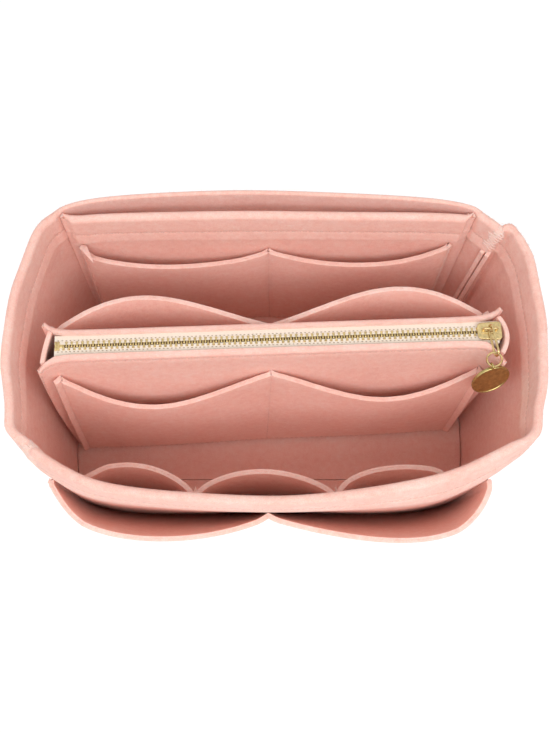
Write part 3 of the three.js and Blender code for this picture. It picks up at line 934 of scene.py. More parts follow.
@dataclass
class Fuzz:
    """Loose fibres that stand from the felt's rolled and cut edges."""

    name: str
    body: str
    radius: float = 0.07
    spread: float = 0.75
    lengths: Pair = (0.7, 1.9)
    edge_count: int = 300
    places: list = field(default_factory=list)

    def grow(self, points: Array, outward: Array, count: int, seed: int) -> None:
        """Grows fibres at random places along a path.

        Args:
            points: the path, one row each, in millimetres.
            outward: the directions that the fibres lean to.
            count: how many.
            seed: a number that sets where they are.
        """
        chance = np.random.default_rng(seed)
        place = chance.uniform(0, len(points) - 1, count)
        index = place.astype(int)
        blend = (place - index)[:, None]
        roots = points[index] * (1 - blend) + points[index + 1] * blend
        leans = outward[index] + chance.normal(0, self.spread, (count, 3))
        for root, lean, length in zip(roots, leans, chance.uniform(*self.lengths, count)):
            turn = Vector(lean.tolist()).to_track_quat("Z", "Y").to_matrix().to_4x4()
            self.places.append(Matrix.Translation(Vector(root.tolist()) * MM) @ turn
                               @ Matrix.Diagonal((1, 1, float(length), 1)))

    def edge(self, surface: Face, extra: float, seed: int) -> None:
        """Grows fibres on the top edge of a sheet.

        Args:
            surface: the sheet's face.
            extra: how far out from it they grow.
            seed: a number that sets where they are.
        """
        u, top = np.linspace(0.005, 0.995, 160), np.ones(160)
        points = surface(u, top, extra)
        self.grow(points, normals_of(points, surface(u, top, extra + 1)) * 0.4 + UP * 0.8, self.edge_count, seed)

    def make(self) -> None:
        """Builds all the fibres as one piece."""
        fibre = started(bpy.ops.mesh.primitive_cone_add, vertices=3, radius1=self.radius * MM,
                        radius2=self.radius * MM / 4, depth=MM)
        points = coordinates(fibre)
        points[:, 2] += 0.35 * MM
        move_to(fibre, points)
        fibre.data.materials.append(FELT_CUT)
        hand_over(repeated(fibre, self.places, self.name), self.body)


@dataclass
class HemProfile:
    """Section of a wall whose top is folded over: its outer face, from the foot over the fold to the cut edge."""

    foot: float
    height: float
    hem_depth: float
    stitch_drop: float = 18.0
    pinch: float = 0.45
    pinch_width: float = 0.9
    lift: float = 0.8
    fold_steps: int = 8
    drops: tuple = (3.2, 5, 8, 12)
    beside_stitch: tuple = (3, 1.2, 0.5)

    def rows(self) -> list[float]:
        """Returns the section's row numbers as shares, so that each row is one station."""
        return list(np.arange(self.count() + 1) / self.count())

    def stations(self) -> list[tuple[str, float]]:
        """Lists the section's stations.

        Returns:
            Heights on the outer face, turns of the fold, and heights on the hem, each with its kind.
        """
        top, end = self.height - self.stitch_drop, self.height - self.hem_depth
        below = [top - away for away in self.beside_stitch]
        stitch = [*below, top, *(top + away for away in self.beside_stitch[::-1])]
        rise = [*np.linspace(self.foot, below[0], 18)[:-1], *stitch,
                *(self.height - drop for drop in self.drops[::-1])]
        fall = [*(self.height - drop for drop in self.drops), *stitch[::-1], top - 5, end + 2, end]
        return ([("out", z) for z in rise] + [("fold", t) for t in np.linspace(0, 1, self.fold_steps + 1)]
                + [("hem", z) for z in fall])

    def count(self) -> int:
        """Returns the number of steps in the section."""
        return len(self.stations()) - 1

    def at(self, v: Array, thickness: Array) -> tuple[Array, Array]:
        """Places the section.

        Args:
            v: row shares.
            thickness: thickness of the rim at each point.

        Returns:
            Insets and heights.
        """
        stations = self.stations()
        index = np.rint(v * self.count()).astype(int)
        kind = np.array([("out", "fold", "hem").index(name) for name, _ in stations])[index]
        value = np.array([number for _, number in stations])[index]
        fold, turn, stitch = thickness / 2, np.pi * value, self.height - self.stitch_drop
        pinch = self.pinch * dent(value, stitch, self.pinch_width)
        loose = self.lift * smooth((stitch - 1 - value) / (self.hem_depth - self.stitch_drop))
        inset = np.select([kind == 0, kind == 1], [pinch, fold * (1 - np.cos(turn))], thickness - pinch + loose)
        z = np.select([kind == 1], [self.height - fold + fold * np.sin(turn)], value)
        z = np.minimum(z, np.where(kind == 1, z, self.height - fold))
        return inset, z


def bearings(points: Array) -> Array:
    """Returns the order of points by their direction from the middle."""
    return np.argsort(np.arctan2(points[:, 1], points[:, 0]) % (2 * np.pi))


@dataclass
class ToteShell:
    """The tote's two walls and its base."""

    station: float = 3.0
    corner: float = 6.0
    notch: float = 2.2
    plan_round: float = 800.0
    rim_round: float = 790.0
    base_stitch: float = 2.2
    base_points: int = 136
    fray_parts: tuple = (0.1, 0.35, 0.7, 0.95)
    fray_count: int = 420

    def build(self) -> None:
        """Builds the walls and the base."""
        self.wall("back_left_wall", 0)
        self.wall("front_right_wall", 1)
        self.base()

    def wall(self, node: str, index: int) -> None:
        """Builds one wall, folded over at the rim.

        Args:
            node: the solid that it stands for.
            index: which pair of seams it runs between.
        """
        gap = FELT.gap / 2 / self.plan_round
        start, end = TOTE.seams[index] + gap, TOTE.seams[index + 1] - gap
        profile = HemProfile(0.0, TOTE.height, TOTE.hem_depth)

        def surface(u: Array, v: Array) -> Array:
            """Places points of the wall's outer face.

            Args:
                u: shares across.
                v: shares up.

            Returns:
                The points, one row each.
            """
            share = start + (end - start) * u
            inset, z = profile.at(v, TOTE.rim_thickness(share))
            corner = 1 - smooth(np.minimum(share - start, end - share) * self.rim_round / self.corner)
            z = z - self.notch * corner * smooth((z - TOTE.height + TOTE.hem_depth) / TOTE.hem_depth)
            return TOTE.wall(share, z, inset)

        middle = TOTE.wall(np.linspace(start, end, 200), TOTE.height / 2, 0.0)
        run = float(np.linalg.norm(np.diff(middle, axis=0), axis=1).sum())
        ends = np.array([0, 1, 2, 3, 4, 5.5]) / run
        columns = np.concatenate([ends, np.linspace(8 / run, 1 - 8 / run, int(run / self.station)), 1 - ends[::-1]])
        Sheet(f"{node}_felt", node, "tote", surface, columns, profile.rows(), -1,
              (run, TOTE.height + TOTE.hem_depth), Hold.FOLDED, ("base_panel_felt",)).make()

    def sew(self, stitching: Stitching) -> None:
        """Sews the hem's line round the rim on both faces, and the line that holds the base.

        Args:
            stitching: the thread.
        """
        share = np.linspace(0, 1, 500)
        z, pinch = TOTE.height - HemProfile.stitch_drop, HemProfile.pinch
        stitching.run(*TOTE.line(share, z, pinch, -1.0))
        away = (share < TOTE.slip[0] - TOTE.step / 4) | (share > TOTE.slip[1] + TOTE.step / 4)
        inside = share[away][np.argsort((share[away] - TOTE.slip[1]) % 1.0)]
        stitching.run(*TOTE.line(inside, z, TOTE.rim_thickness(inside) - pinch))
        stitching.run(*TOTE.line(share, self.base_stitch, 0.0, -1.0))

    def fray(self, fuzz: Fuzz) -> None:
        """Grows fibres round the rim.

        Args:
            fuzz: the fibres.
        """
        share = np.linspace(0, 1, 600)
        for seed, part in enumerate(self.fray_parts):
            thickness = TOTE.rim_thickness(share)
            fold = thickness / 2
            z = TOTE.height - fold + fold * np.sqrt(1 - (1 - 2 * part) ** 2)
            points, inward = TOTE.line(share, z, thickness * part)
            fuzz.grow(points, inward * (2 * part - 1) + UP * 0.7, self.fray_count, seed)

    def base(self) -> None:
        """Builds the base from a filled ring, drawn in by steps."""
        piece = started(bpy.ops.mesh.primitive_circle_add, "base_panel_felt", vertices=self.base_points, radius=1,
                        fill_type="NGON")
        share = np.arange(self.base_points) / self.base_points
        ring = TOTE.wall(share, 0.0, FELT.thickness + 0.02)
        points = coordinates(piece)
        points[bearings(points)] = ring[bearings(ring)] * MM
        move_to(piece, points)
        with editing("SELECT"):
            for depth in (5, 9):
                bpy.ops.mesh.inset(thickness=depth * MM)
        for material in (FELT_FACE, FELT_CUT):
            piece.data.materials.append(material)
        thicken(piece, TOTE.base_thickness, 1, False)
        bevel(piece, 0.8, 2, 55)
        apply_modifiers(piece, 40)
        hand_over(piece, "tote", "base_panel")
        flat = tuple(float(size) * MM for size in np.ptp(ring, axis=0)[:2])


def seam_columns(places: Sequence[float], between: int = 44) -> Array:
    """Returns column shares that meet each seam, closer together beside it.

    Args:
        places: rising shares of the edges and seams.
        between: the most columns between two of them.

    Returns:
        The column shares, from 0 to 1.
    """
    parts = []
    for low, high in zip(places, places[1:]):
        even = np.linspace(0, 1, max(3, int(between * min(1.0, 3 * (high - low)))) + 1)
        parts.append(low + (high - low) * (0.75 * (1 - np.cos(np.pi * even)) / 2 + 0.25 * even))
    return np.unique(np.round(np.concatenate(parts), 9))


class Patch:
    """A patch of pockets, sewn down at its ends, between its pockets and along its foot.

    Its sewing is the share up it where the upright lines start, the share up it of the foot's line, how many places
    that line is drawn through, and the share up it where the last upright line ends.
    """

    name: str
    node: str
    body: str = "tote"
    under: str
    thicken_to: int
    cut: Pair
    row_power: float = 1.0
    sewing: tuple = (0.03, 0.03, 120, 0.985)
    seam_top: float = 0.985

    def surface(self, u: Array, v: Array, extra: float = 0.0) -> Array:
        """Returns points of the patch's inner face, or further out."""
        raise NotImplementedError

    def seams(self) -> tuple:
        """Returns the shares of the patch where it is sewn down."""
        raise NotImplementedError

    def build(self) -> None:
        """Builds the patch."""
        Sheet(self.name, self.node, self.body, self.surface, seam_columns((0, *self.seams(), 1)),
              np.linspace(0, 1, 25) ** self.row_power, self.thicken_to, self.cut, Hold.STRETCHED, (self.under,)).make()

    def sew(self, stitching: Stitching) -> None:
        """Sews the patch down.

        Args:
            stitching: the thread.
        """
        start, foot, samples, last_top = self.sewing
        near, far, seams = FELT.thickness - FELT.sunk, FELT.thickness + 1, self.seams()
        for u in seams:
            top = last_top if u == seams[-1] else self.seam_top
            sew(stitching, self.surface, near, far, u, np.linspace(start, top, 40))
        sew(stitching, self.surface, near, far, np.linspace(seams[0], seams[-1], samples), foot)


@dataclass
class SlipPockets(Patch):
    """The two pockets that are sewn to the slip panel."""

    name: str = "inner_back_pocket_felt"
    node: str = "inner_back_pocket_patch"
    under: str = "rear_slip_panel_felt"
    thicken_to: int = -1
    cut: Pair = (238, 112)
    row_power: float = 1.2
    sewing: tuple = (0.02, 0.025, 80, 0.985)
    width: float = 262.0
    side: float = 116.0
    peak: float = 105.0
    scoop: float = 9.0
    bulge: float = 7.5
    rise: float = 0.6
    loose: float = 0.8
    margin: float = 0.016
    edges: tuple = (0.063, 0.45, 0.938)

    def surface(self, u: Array, v: Array, extra: float = 0.0) -> Array:
        """Places points of the patch.

        Args:
            u: shares across.
            v: shares up.
            extra: how far out from the face towards the panel.

        Returns:
            The points, one row each.
        """
        edges = self.edges
        seams = (edges[0] + self.margin, edges[1], edges[2] - self.margin)
        along = edges[0] + (edges[2] - edges[0]) * u
        arch = bow(pocket_share(seams, along))
        outer = np.abs(2 * u - 1)
        top = self.peak + (self.side - self.peak) * outer - self.scoop * arch + ragged(along * 260, 3.0)
        z = TOTE.inside_floor + (top - TOTE.inside_floor) * v
        loose = self.loose * smooth((outer - 1) / (2 * self.margin) * 1.8 + 1)
        stand = FELT.thickness + FELT.gap + loose + self.bulge * arch**ARCH_POWER * v**self.rise
        stand = stand + puff(seams, along, self.width, v)
        return TOTE.wall(TOTE.slip_share(along), z, TOTE.slip_inset(along, z) + stand + extra)

    def seams(self) -> tuple:
        """Returns the shares of the patch where it is sewn down."""
        width = self.edges[2] - self.edges[0]
        return (self.margin / width, (self.edges[1] - self.edges[0]) / width, 1 - self.margin / width)


@dataclass
class SlipPanel:
    """The panel inside the back wall, and the pocket patch that is sewn to it."""

    width: float = 262.0
    pressed: float = 2.3
    pressed_share: float = 0.05
    pockets: SlipPockets = field(default_factory=SlipPockets)

    def hem(self, along: Array) -> Array:
        """Returns the hem's thickness, which is pressed flat where the wall's own hem takes over."""
        return TOTE.hem_thickness - self.pressed * smooth(1 - np.minimum(along, 1 - along) / self.pressed_share)

    def build(self) -> None:
        """Builds the panel, folded over at its top, and its pockets."""
        profile = HemProfile(TOTE.inside_floor, TOTE.slip_height, TOTE.hem_depth)

        def surface(u: Array, v: Array) -> Array:
            """Returns points of the face towards the back wall."""
            inset, z = profile.at(v, self.hem(u))
            return TOTE.wall(TOTE.slip_share(u), z, inset + TOTE.slip_inset(u, z))

        Sheet("rear_slip_panel_felt", "rear_slip_panel", "tote", surface, np.linspace(0, 1, 90),
              profile.rows(), -1, (self.width, TOTE.slip_height - TOTE.inside_floor + TOTE.hem_depth),
              Hold.FOLDED, ("base_panel_felt",)).make()
        self.pockets.build()

    def sew(self, stitching: Stitching) -> None:
        """Sews the panel's hem and the pockets' seams.

        Args:
            stitching: the thread.
        """
        along, z = np.linspace(0.004, 0.996, 300), TOTE.slip_height - HemProfile.stitch_drop
        inset = TOTE.slip_inset(along, z) + self.hem(along) - HemProfile.pinch
        stitching.run(*TOTE.line(TOTE.slip_share(along), z, inset))
        self.pockets.sew(stitching)


@dataclass
class WallPockets(Patch):
    """A strip of pockets sewn to the front wall, with its fullness between the seams."""

    node: str
    places: tuple
    foot: float
    height: float
    bulges: tuple
    power: float
    skews: tuple
    outside: bool
    cut: Pair
    under: str = "front_right_wall_felt"
    margin: float = 0.018
    rim_round: float = 790.0
    rise: float = 1.5
    play: float = 0.6

    def __post_init__(self) -> None:
        """Names the piece and finds the side that it is thickened to."""
        self.name = f"{self.node}_felt"
        self.thicken_to = 1 if self.outside else -1

    def surface(self, u: Array, v: Array, extra: float = 0.0) -> Array:
        """Places points of the strip.

        Args:
            u: shares across.
            v: shares up.
            extra: how far out from the face towards the wall.

        Returns:
            The points, one row each.
        """
        edges = [place * TOTE.step for place in self.places]
        width = edges[-1] - edges[0]
        seams = (edges[0] + self.margin * width, *edges[1:-1], edges[-1] - self.margin * width)
        share = edges[0] + width * u
        pocket = np.clip(np.searchsorted(seams, share) - 1, 0, len(self.skews) - 1)
        through = np.clip(pocket_share(seams, share), 0, 1) ** np.array(self.skews)[pocket]
        swell = np.array(self.bulges)[pocket] * bow(through) ** self.power * v**self.rise
        swell = swell + puff(seams, share, self.rim_round, v)
        z = self.foot + (self.height + ragged(u * self.cut[0], self.foot) - self.foot) * v
        if self.outside:
            gap = self.play * smooth(v * 12) * smooth(np.minimum(u, 1 - u) / self.margin - 1) - FELT.gap
            return TOTE.wall(share, z, -gap - swell - extra)
        return TOTE.wall(share, z, FELT.thickness + FELT.gap + swell + extra)

    def seams(self) -> tuple:
        """Returns the shares of the strip where it is sewn down."""
        inner = tuple((place - self.places[0]) / (self.places[-1] - self.places[0]) for place in self.places[1:-1])
        return (self.margin, *inner, 1 - self.margin)


INNER_FRONT = WallPockets("inner_front_pocket_strip", (8.625, 9.6, 10.375, 11.25), TOTE.inside_floor, 100.0,
                          (18.5, 18.5, 18.5), 0.6, (1.4, 0.92, 0.74), False, (250, 97))
OUTER_FRONT = WallPockets("outer_front_pocket_strip", (8.25, 10, 11.75), 3.0, 105.0,
                          (15.4, 17.2), 0.9, (1.35, 1.05), True, (300, 103))


@dataclass
class PouchPockets(Patch):
    """Two pockets on the front or back of the pouch, cut as one patch with a seam between them."""

    name: str
    node: str
    under: str
    side: int
    edge: float
    seam: float
    height: float
    skew: float
    bulge: float
    rise: float
    seed: float
    cut: Pair
    thicken_to: int
    row_power: float = 1.0
    slopes: Pair = (0.0, 0.0)
    scoop: float = 0.0
    loose: float = 0.0
    draw: float = 0.0
    body: str = "pouch"
    sewing: tuple = (0.03, 0.025, 120, 0.9)
    off: float = 0.05
    half_width: float = 130.0
    seam_width: float = 132.0

    def surface(self, u: Array, v: Array, extra: float = 0.0) -> Array:
        """Places points of the patch.

        Args:
            u: shares across.
            v: shares up.
            extra: how far out from the face towards the panel.

        Returns:
            The points, one row each.
        """
        seams = (-self.seam, 0.0, self.seam)
        place = self.edge * (2 * u - 1)
        through = np.clip(pocket_share(seams, place), 0, 1)
        arch = bow(np.where(place < 0, 1 - through, through) ** self.skew)
        slope = np.where(place < 0, *self.slopes) * -place * np.abs(place)
        top = self.height + slope - self.scoop * arch + ragged(place * self.half_width, self.seed)
        z = POUCH.foot + (top - POUCH.foot) * v
        loose = self.loose * smooth((np.abs(place) - self.seam) / (self.edge - self.seam))
        stand = self.off + loose + self.bulge * arch**ARCH_POWER * v**self.rise
        stand = stand + puff(seams, place, self.seam_width, v)
        return POUCH.side(self.side, place * (1 - self.draw * v**2), z, stand + extra)

    def seams(self) -> tuple:
        """Returns the shares of the patch where it is sewn down."""
        near = (1 - self.seam / self.edge) / 2
        return (near, 0.5, 1 - near)


@dataclass
class Pouch:
    """The zipped pouch: front, back, gusset and pockets."""

    corner: float = 9.0
    bow_left: float = 0.4
    bow_right: float = 4.0
    bulge_left: float = 6.5
    back_draw: float = 2.0
    front_bow: float = 2.5
    fold: float = 2.3
    roof: float = 3.55
    roof_top: float = 144.05
    shoulder: float = 134.0
    shoulder_top: float = 139.5
    stitch: float = 138.2
    pinch: float = 0.35
    ear_starts: Pair = (0.93, 0.972)
    ear_widths: Pair = (0.05, 0.028)
    roof_kept: Pair = (0.8, 0.1)
    ear_drops: Pair = (1.2, 0.3)
    corner_drop: float = 2.6
    pockets: tuple = (
        PouchPockets("pouch_front_pocket_felt", "pouch_front_pocket_patch", "pouch_front_panel_felt", -1, 0.98, 0.95,
                     120.0, 1.27, 8.5, 0.6, 5.0, (262, 116), 1, 1.2, (6.5, 2.5), 25.0, 1.6, 0.018),
        PouchPockets("pouch_back_pocket_felt", "pouch_back_pocket_strip", "pouch_back_panel_felt", 1, 0.985, 0.945,
                     130.0, 1.4, 21.0, 1.5, 7.0, (275, 123), -1))

    def build(self) -> None:
        """Builds the felt pieces of the pouch."""
        self.panel("pouch_front_panel", -1)
        self.panel("pouch_back_panel", 1)
        self.gusset()
        for pockets in self.pockets:
            pockets.build()

    def panel_rows(self) -> list[tuple[str, float]]:
        """Lists the panel's section.

        Returns:
            Heights up its face, turns of the fold, and shares of the roof, each with its kind.
        """
        heights = [*np.linspace(POUCH.foot, self.shoulder, 26), 135.6, 136.8, 137.6, self.stitch, 138.8,
                   self.shoulder_top]
        return ([("face", z) for z in heights] + [("fold", t) for t in np.linspace(0, 1, 7)]
                + [("roof", t) for t in (0.35, 0.7, 1.0)])

    def face(self, side: int, u: Array, v: Array, extra: float = 0.0) -> Array:
        """Places points of the outer face of the front or back panel, which folds in over the zip tape.

        Args:
            side: -1 for the front and 1 for the back.
            u: shares across.
            v: shares up and over.
            extra: how far out from the face.

        Returns:
            The points, one row each.
        """
        rows = self.panel_rows()
        index = np.rint(v * (len(rows) - 1)).astype(int)
        kind = np.array([("face", "fold", "roof").index(kind) for kind, _ in rows])[index]
        value = np.array([value for _, value in rows])[index]
        end = 0 if side < 0 else 1
        place = 2 * u - 1
        eased = np.sign(place) * (1 - (1 - np.abs(place)) ** 1.6)
        ear, corner = (smooth((np.abs(eased) - start) / width)
                       for start, width in zip(self.ear_starts, self.ear_widths))
        corner = corner**2 * (side < 0)
        reach = self.fold + (self.roof - self.fold) * (1 - self.roof_kept[end] * ear)
        top = (self.roof_top - self.ear_drops[end] * ear - self.corner_drop * corner
               + ragged(eased * 130, 1.0 + side, 0.15))
        turn = np.pi / 2 * value
        outward = np.select([kind == 0, kind == 1], [-self.pinch * dent(value, self.stitch, 0.9),
                                                     -self.fold * (1 - np.cos(turn))],
                            -self.fold - (reach - self.fold) * value)
        rising = (top - self.fold - 0.4 - self.shoulder) / (self.shoulder_top - self.shoulder)
        face = np.where(value > self.shoulder, self.shoulder + (value - self.shoulder) * rising, value)
        z = np.select([kind == 0, kind == 1], [face, top - self.fold * (1 - np.sin(turn))], top)
        flat = POUCH.side(side, eased, np.minimum(z, POUCH.top), outward + extra)
        flat[..., 2] = z + np.where(kind == 0, 0.0, extra * np.where(kind == 1, np.sin(turn), 1.0))
        rise = np.clip(POUCH.rise(z), 0, 1)
        drawn = self.back_draw * rise**2 if side > 0 else -self.front_bow * np.sin(np.pi * rise)
        flat[..., 0] += drawn * smooth((-eased - 0.9) / 0.1)
        return flat

    def panel(self, node: str, side: int) -> None:
        """Builds the front or back panel."""
        Sheet(f"{node}_felt", node, "pouch", partial(self.face, side), np.linspace(0, 1, 97),
              np.linspace(0, 1, len(self.panel_rows())), side, (263, 139), Hold.FOLDED, ("pouch_gusset_felt",)).make()

    def gusset_path(self, v: Array) -> tuple[Array, ...]:
        """Runs down the left end, along the bottom and up the right end.

        Args:
            v: shares of the way along the strip.

        Returns:
            Places along the zip, heights, inward directions along the zip and up, and the bowing share.
        """
        leg = POUCH.top - POUCH.foot - self.corner
        arc = self.corner * math.pi / 2
        total = np.cumsum([0, leg, arc, POUCH.base_length - 2 * self.corner, arc, leg])[-1]
        reach = v * total
        side = np.where(v < 0.5, -1.0, 1.0)
        mirrored = np.where(v < 0.5, reach, total - reach)
        parts = [mirrored < leg, (mirrored >= leg) & (mirrored < leg + arc)]
        height = np.clip((leg - mirrored) / leg, 0, 1)
        leg_z = POUCH.foot + self.corner + leg * height
        angle = np.clip((mirrored - leg) / self.corner, 0, math.pi / 2)
        half = POUCH.half_length(np.zeros_like(v))
        arc_x = half - self.corner * (1 - np.cos(angle))
        flat_x = half - self.corner - np.clip(mirrored - leg - arc, 0, None)
        x = np.select(parts, [POUCH.half_length(POUCH.rise(leg_z)), arc_x], flat_x)
        z = np.select(parts, [leg_z, POUCH.foot + self.corner * (1 - np.sin(angle))], POUCH.foot)
        in_x = np.select(parts, [-side, -side * np.cos(angle)], 0.0)
        in_z = np.select(parts, [0.0, np.sin(angle)], 1.0)
        return side * x, z, in_x, in_z, np.where(parts[0], height, 0.0)

    def gusset_face(self, u: Array, v: Array) -> Array:
        """Places points of the gusset's outer face.

        Args:
            u: shares across.
            v: shares of the way along the strip.

        Returns:
            The points, one row each.
        """
        x, z, in_x, in_z, swell = self.gusset_path(v)
        share = 2 * u - 1
        rise = POUCH.rise(z)
        end = 1 - FELT.thickness / POUCH.half_length(rise)
        half = POUCH.half_depth(end, rise) - FELT.thickness - 0.05
        out = np.where(x < 0, self.bow_left, self.bow_right) * swell * (1 - share**2)
        left = np.where(x < 0, swell, 0.0)
        out = out + self.bulge_left * np.sin(np.pi * left) * (1 - share**2) * (1 - 0.5 * share)
        out = out - 2 * self.back_draw * left**2 * (1 + share) / 2
        ear = POUCH.front_ear(np.where(x > 0, end, 0.0), rise) * (1 - share) / 2
        return POUCH.placed(np.stack([x - in_x * out, share * half - ear, z - in_z * out], axis=-1))

    def gusset(self) -> None:
        """Builds the gusset as one strip."""
        Sheet("pouch_gusset_felt", "pouch_gusset", "pouch", self.gusset_face, np.linspace(0, 1, 11),
              np.linspace(0, 1, 141), -1, (31, 514), Hold.FOLDED, ("hook_strip_tape",)).make()

    def sew(self, stitching: Stitching) -> None:
        """Sews the pouch's top edges, the gusset's seams and the pockets.

        Args:
            stitching: the thread.
        """
        rows = self.panel_rows()
        last = len(rows) - 1
        for side, right_rows in ((-1, 18), (1, 26)):
            line = partial(sew, stitching, partial(self.face, side), -FELT.sunk, 1.0)
            line(np.linspace(0.01, 0.99, 200), rows.index(("face", self.stitch)) / last)
            for u, count in ((0.006, 26), (0.994, right_rows)):
                line(u, (np.linspace(0, 25, 26) / last)[:count])
        for pockets in self.pockets:
            pockets.sew(stitching)


@dataclass
class Seams:
    """The tote's two upright seams: bar-tacks over the hem, and the allowances that stand inside below them."""

    half_widths: tuple = (3.8, 6.5)
    uneven: Pair = (0.6, 1.2)
    pitch: float = 2.9
    depth: float = 25.0
    allowance: float = 5.5
    hidden: float = 6.0
    notch: float = 1.7
    foot: float = 6.0
    seed: int = 5

    def build(self) -> None:
        """Builds the allowances of both seams."""
        for side in (-1, 1):
            self.flange("back_right_seam", TOTE.seams[0], side)
            self.flange("front_left_seam", TOTE.seams[1], side)

    def flange(self, name: str, place: float, side: int) -> None:
        """Builds one turned-in edge of a wall.

        Args:
            name: the seam's name.
            place: its share of the way round.
            side: -1 for the wall before the seam and 1 for the one after it.
        """
        top = TOTE.height - self.depth - 2

        def surface(u: Array, v: Array) -> Array:
            """Places points of the face that meets the other flange.

            Args:
                u: shares inwards.
                v: shares up.

            Returns:
                The points, one row each.
            """
            z = self.foot + (top - self.foot) * v
            share = TOTE.shift(place, side * (0.1 + 0.35 * u**2) + 0.5 * u)
            depth = FELT.thickness - 0.4 + (self.allowance + ragged(z, place + side, 0.5) * u) * u
            return TOTE.wall(share, z, depth)

        half = "left" if side < 0 else "right"
        Sheet(f"{name}_{half}_edge", "back_left_wall" if (side < 0) == (place > 0) else "front_right_wall",
              "tote", surface, np.linspace(0, 1, 7), np.linspace(0, 1, 60), side,
              (self.allowance + self.hidden, top - self.foot), Hold.STRETCHED, ("base_panel_felt",)).make()

    def sew(self, stitching: Stitching) -> None:
        """Sews a bar-tack over each seam, inside, outside and over the rim, with uneven stitches.

        Args:
            stitching: the thread.
        """
        z = TOTE.height - 2.5 - self.pitch * np.arange(int(self.depth / self.pitch))
        fold = TOTE.hem_thickness / 2
        turn = np.linspace(0, np.pi, 6)
        paths = ((TOTE.hem_thickness, z, 1.0), (0.0, z, -1.0),
                 (fold * (1 - np.cos(turn)), TOTE.height - fold + fold * np.sin(turn), 0.0))
        chance = np.random.default_rng(self.seed)
        for place, half_width in zip(TOTE.seams, self.half_widths):
            for inset, height, away in paths:
                low = height - self.notch * smooth((height - TOTE.height + TOTE.hem_depth) / TOTE.hem_depth)
                left, right = (TOTE.shift(place, side * chance.uniform(*self.uneven, len(height)) * half_width)
                               for side in (-1, 1))
                out = TOTE.wall(place, low, inset + away) - TOTE.wall(place, low, inset)
                out = out + (UP if away == 0 else 0)
                stitching.zigzag(TOTE.wall(left, low, inset), TOTE.wall(right, low, inset),
                                 out / np.linalg.norm(out, axis=-1, keepdims=True))


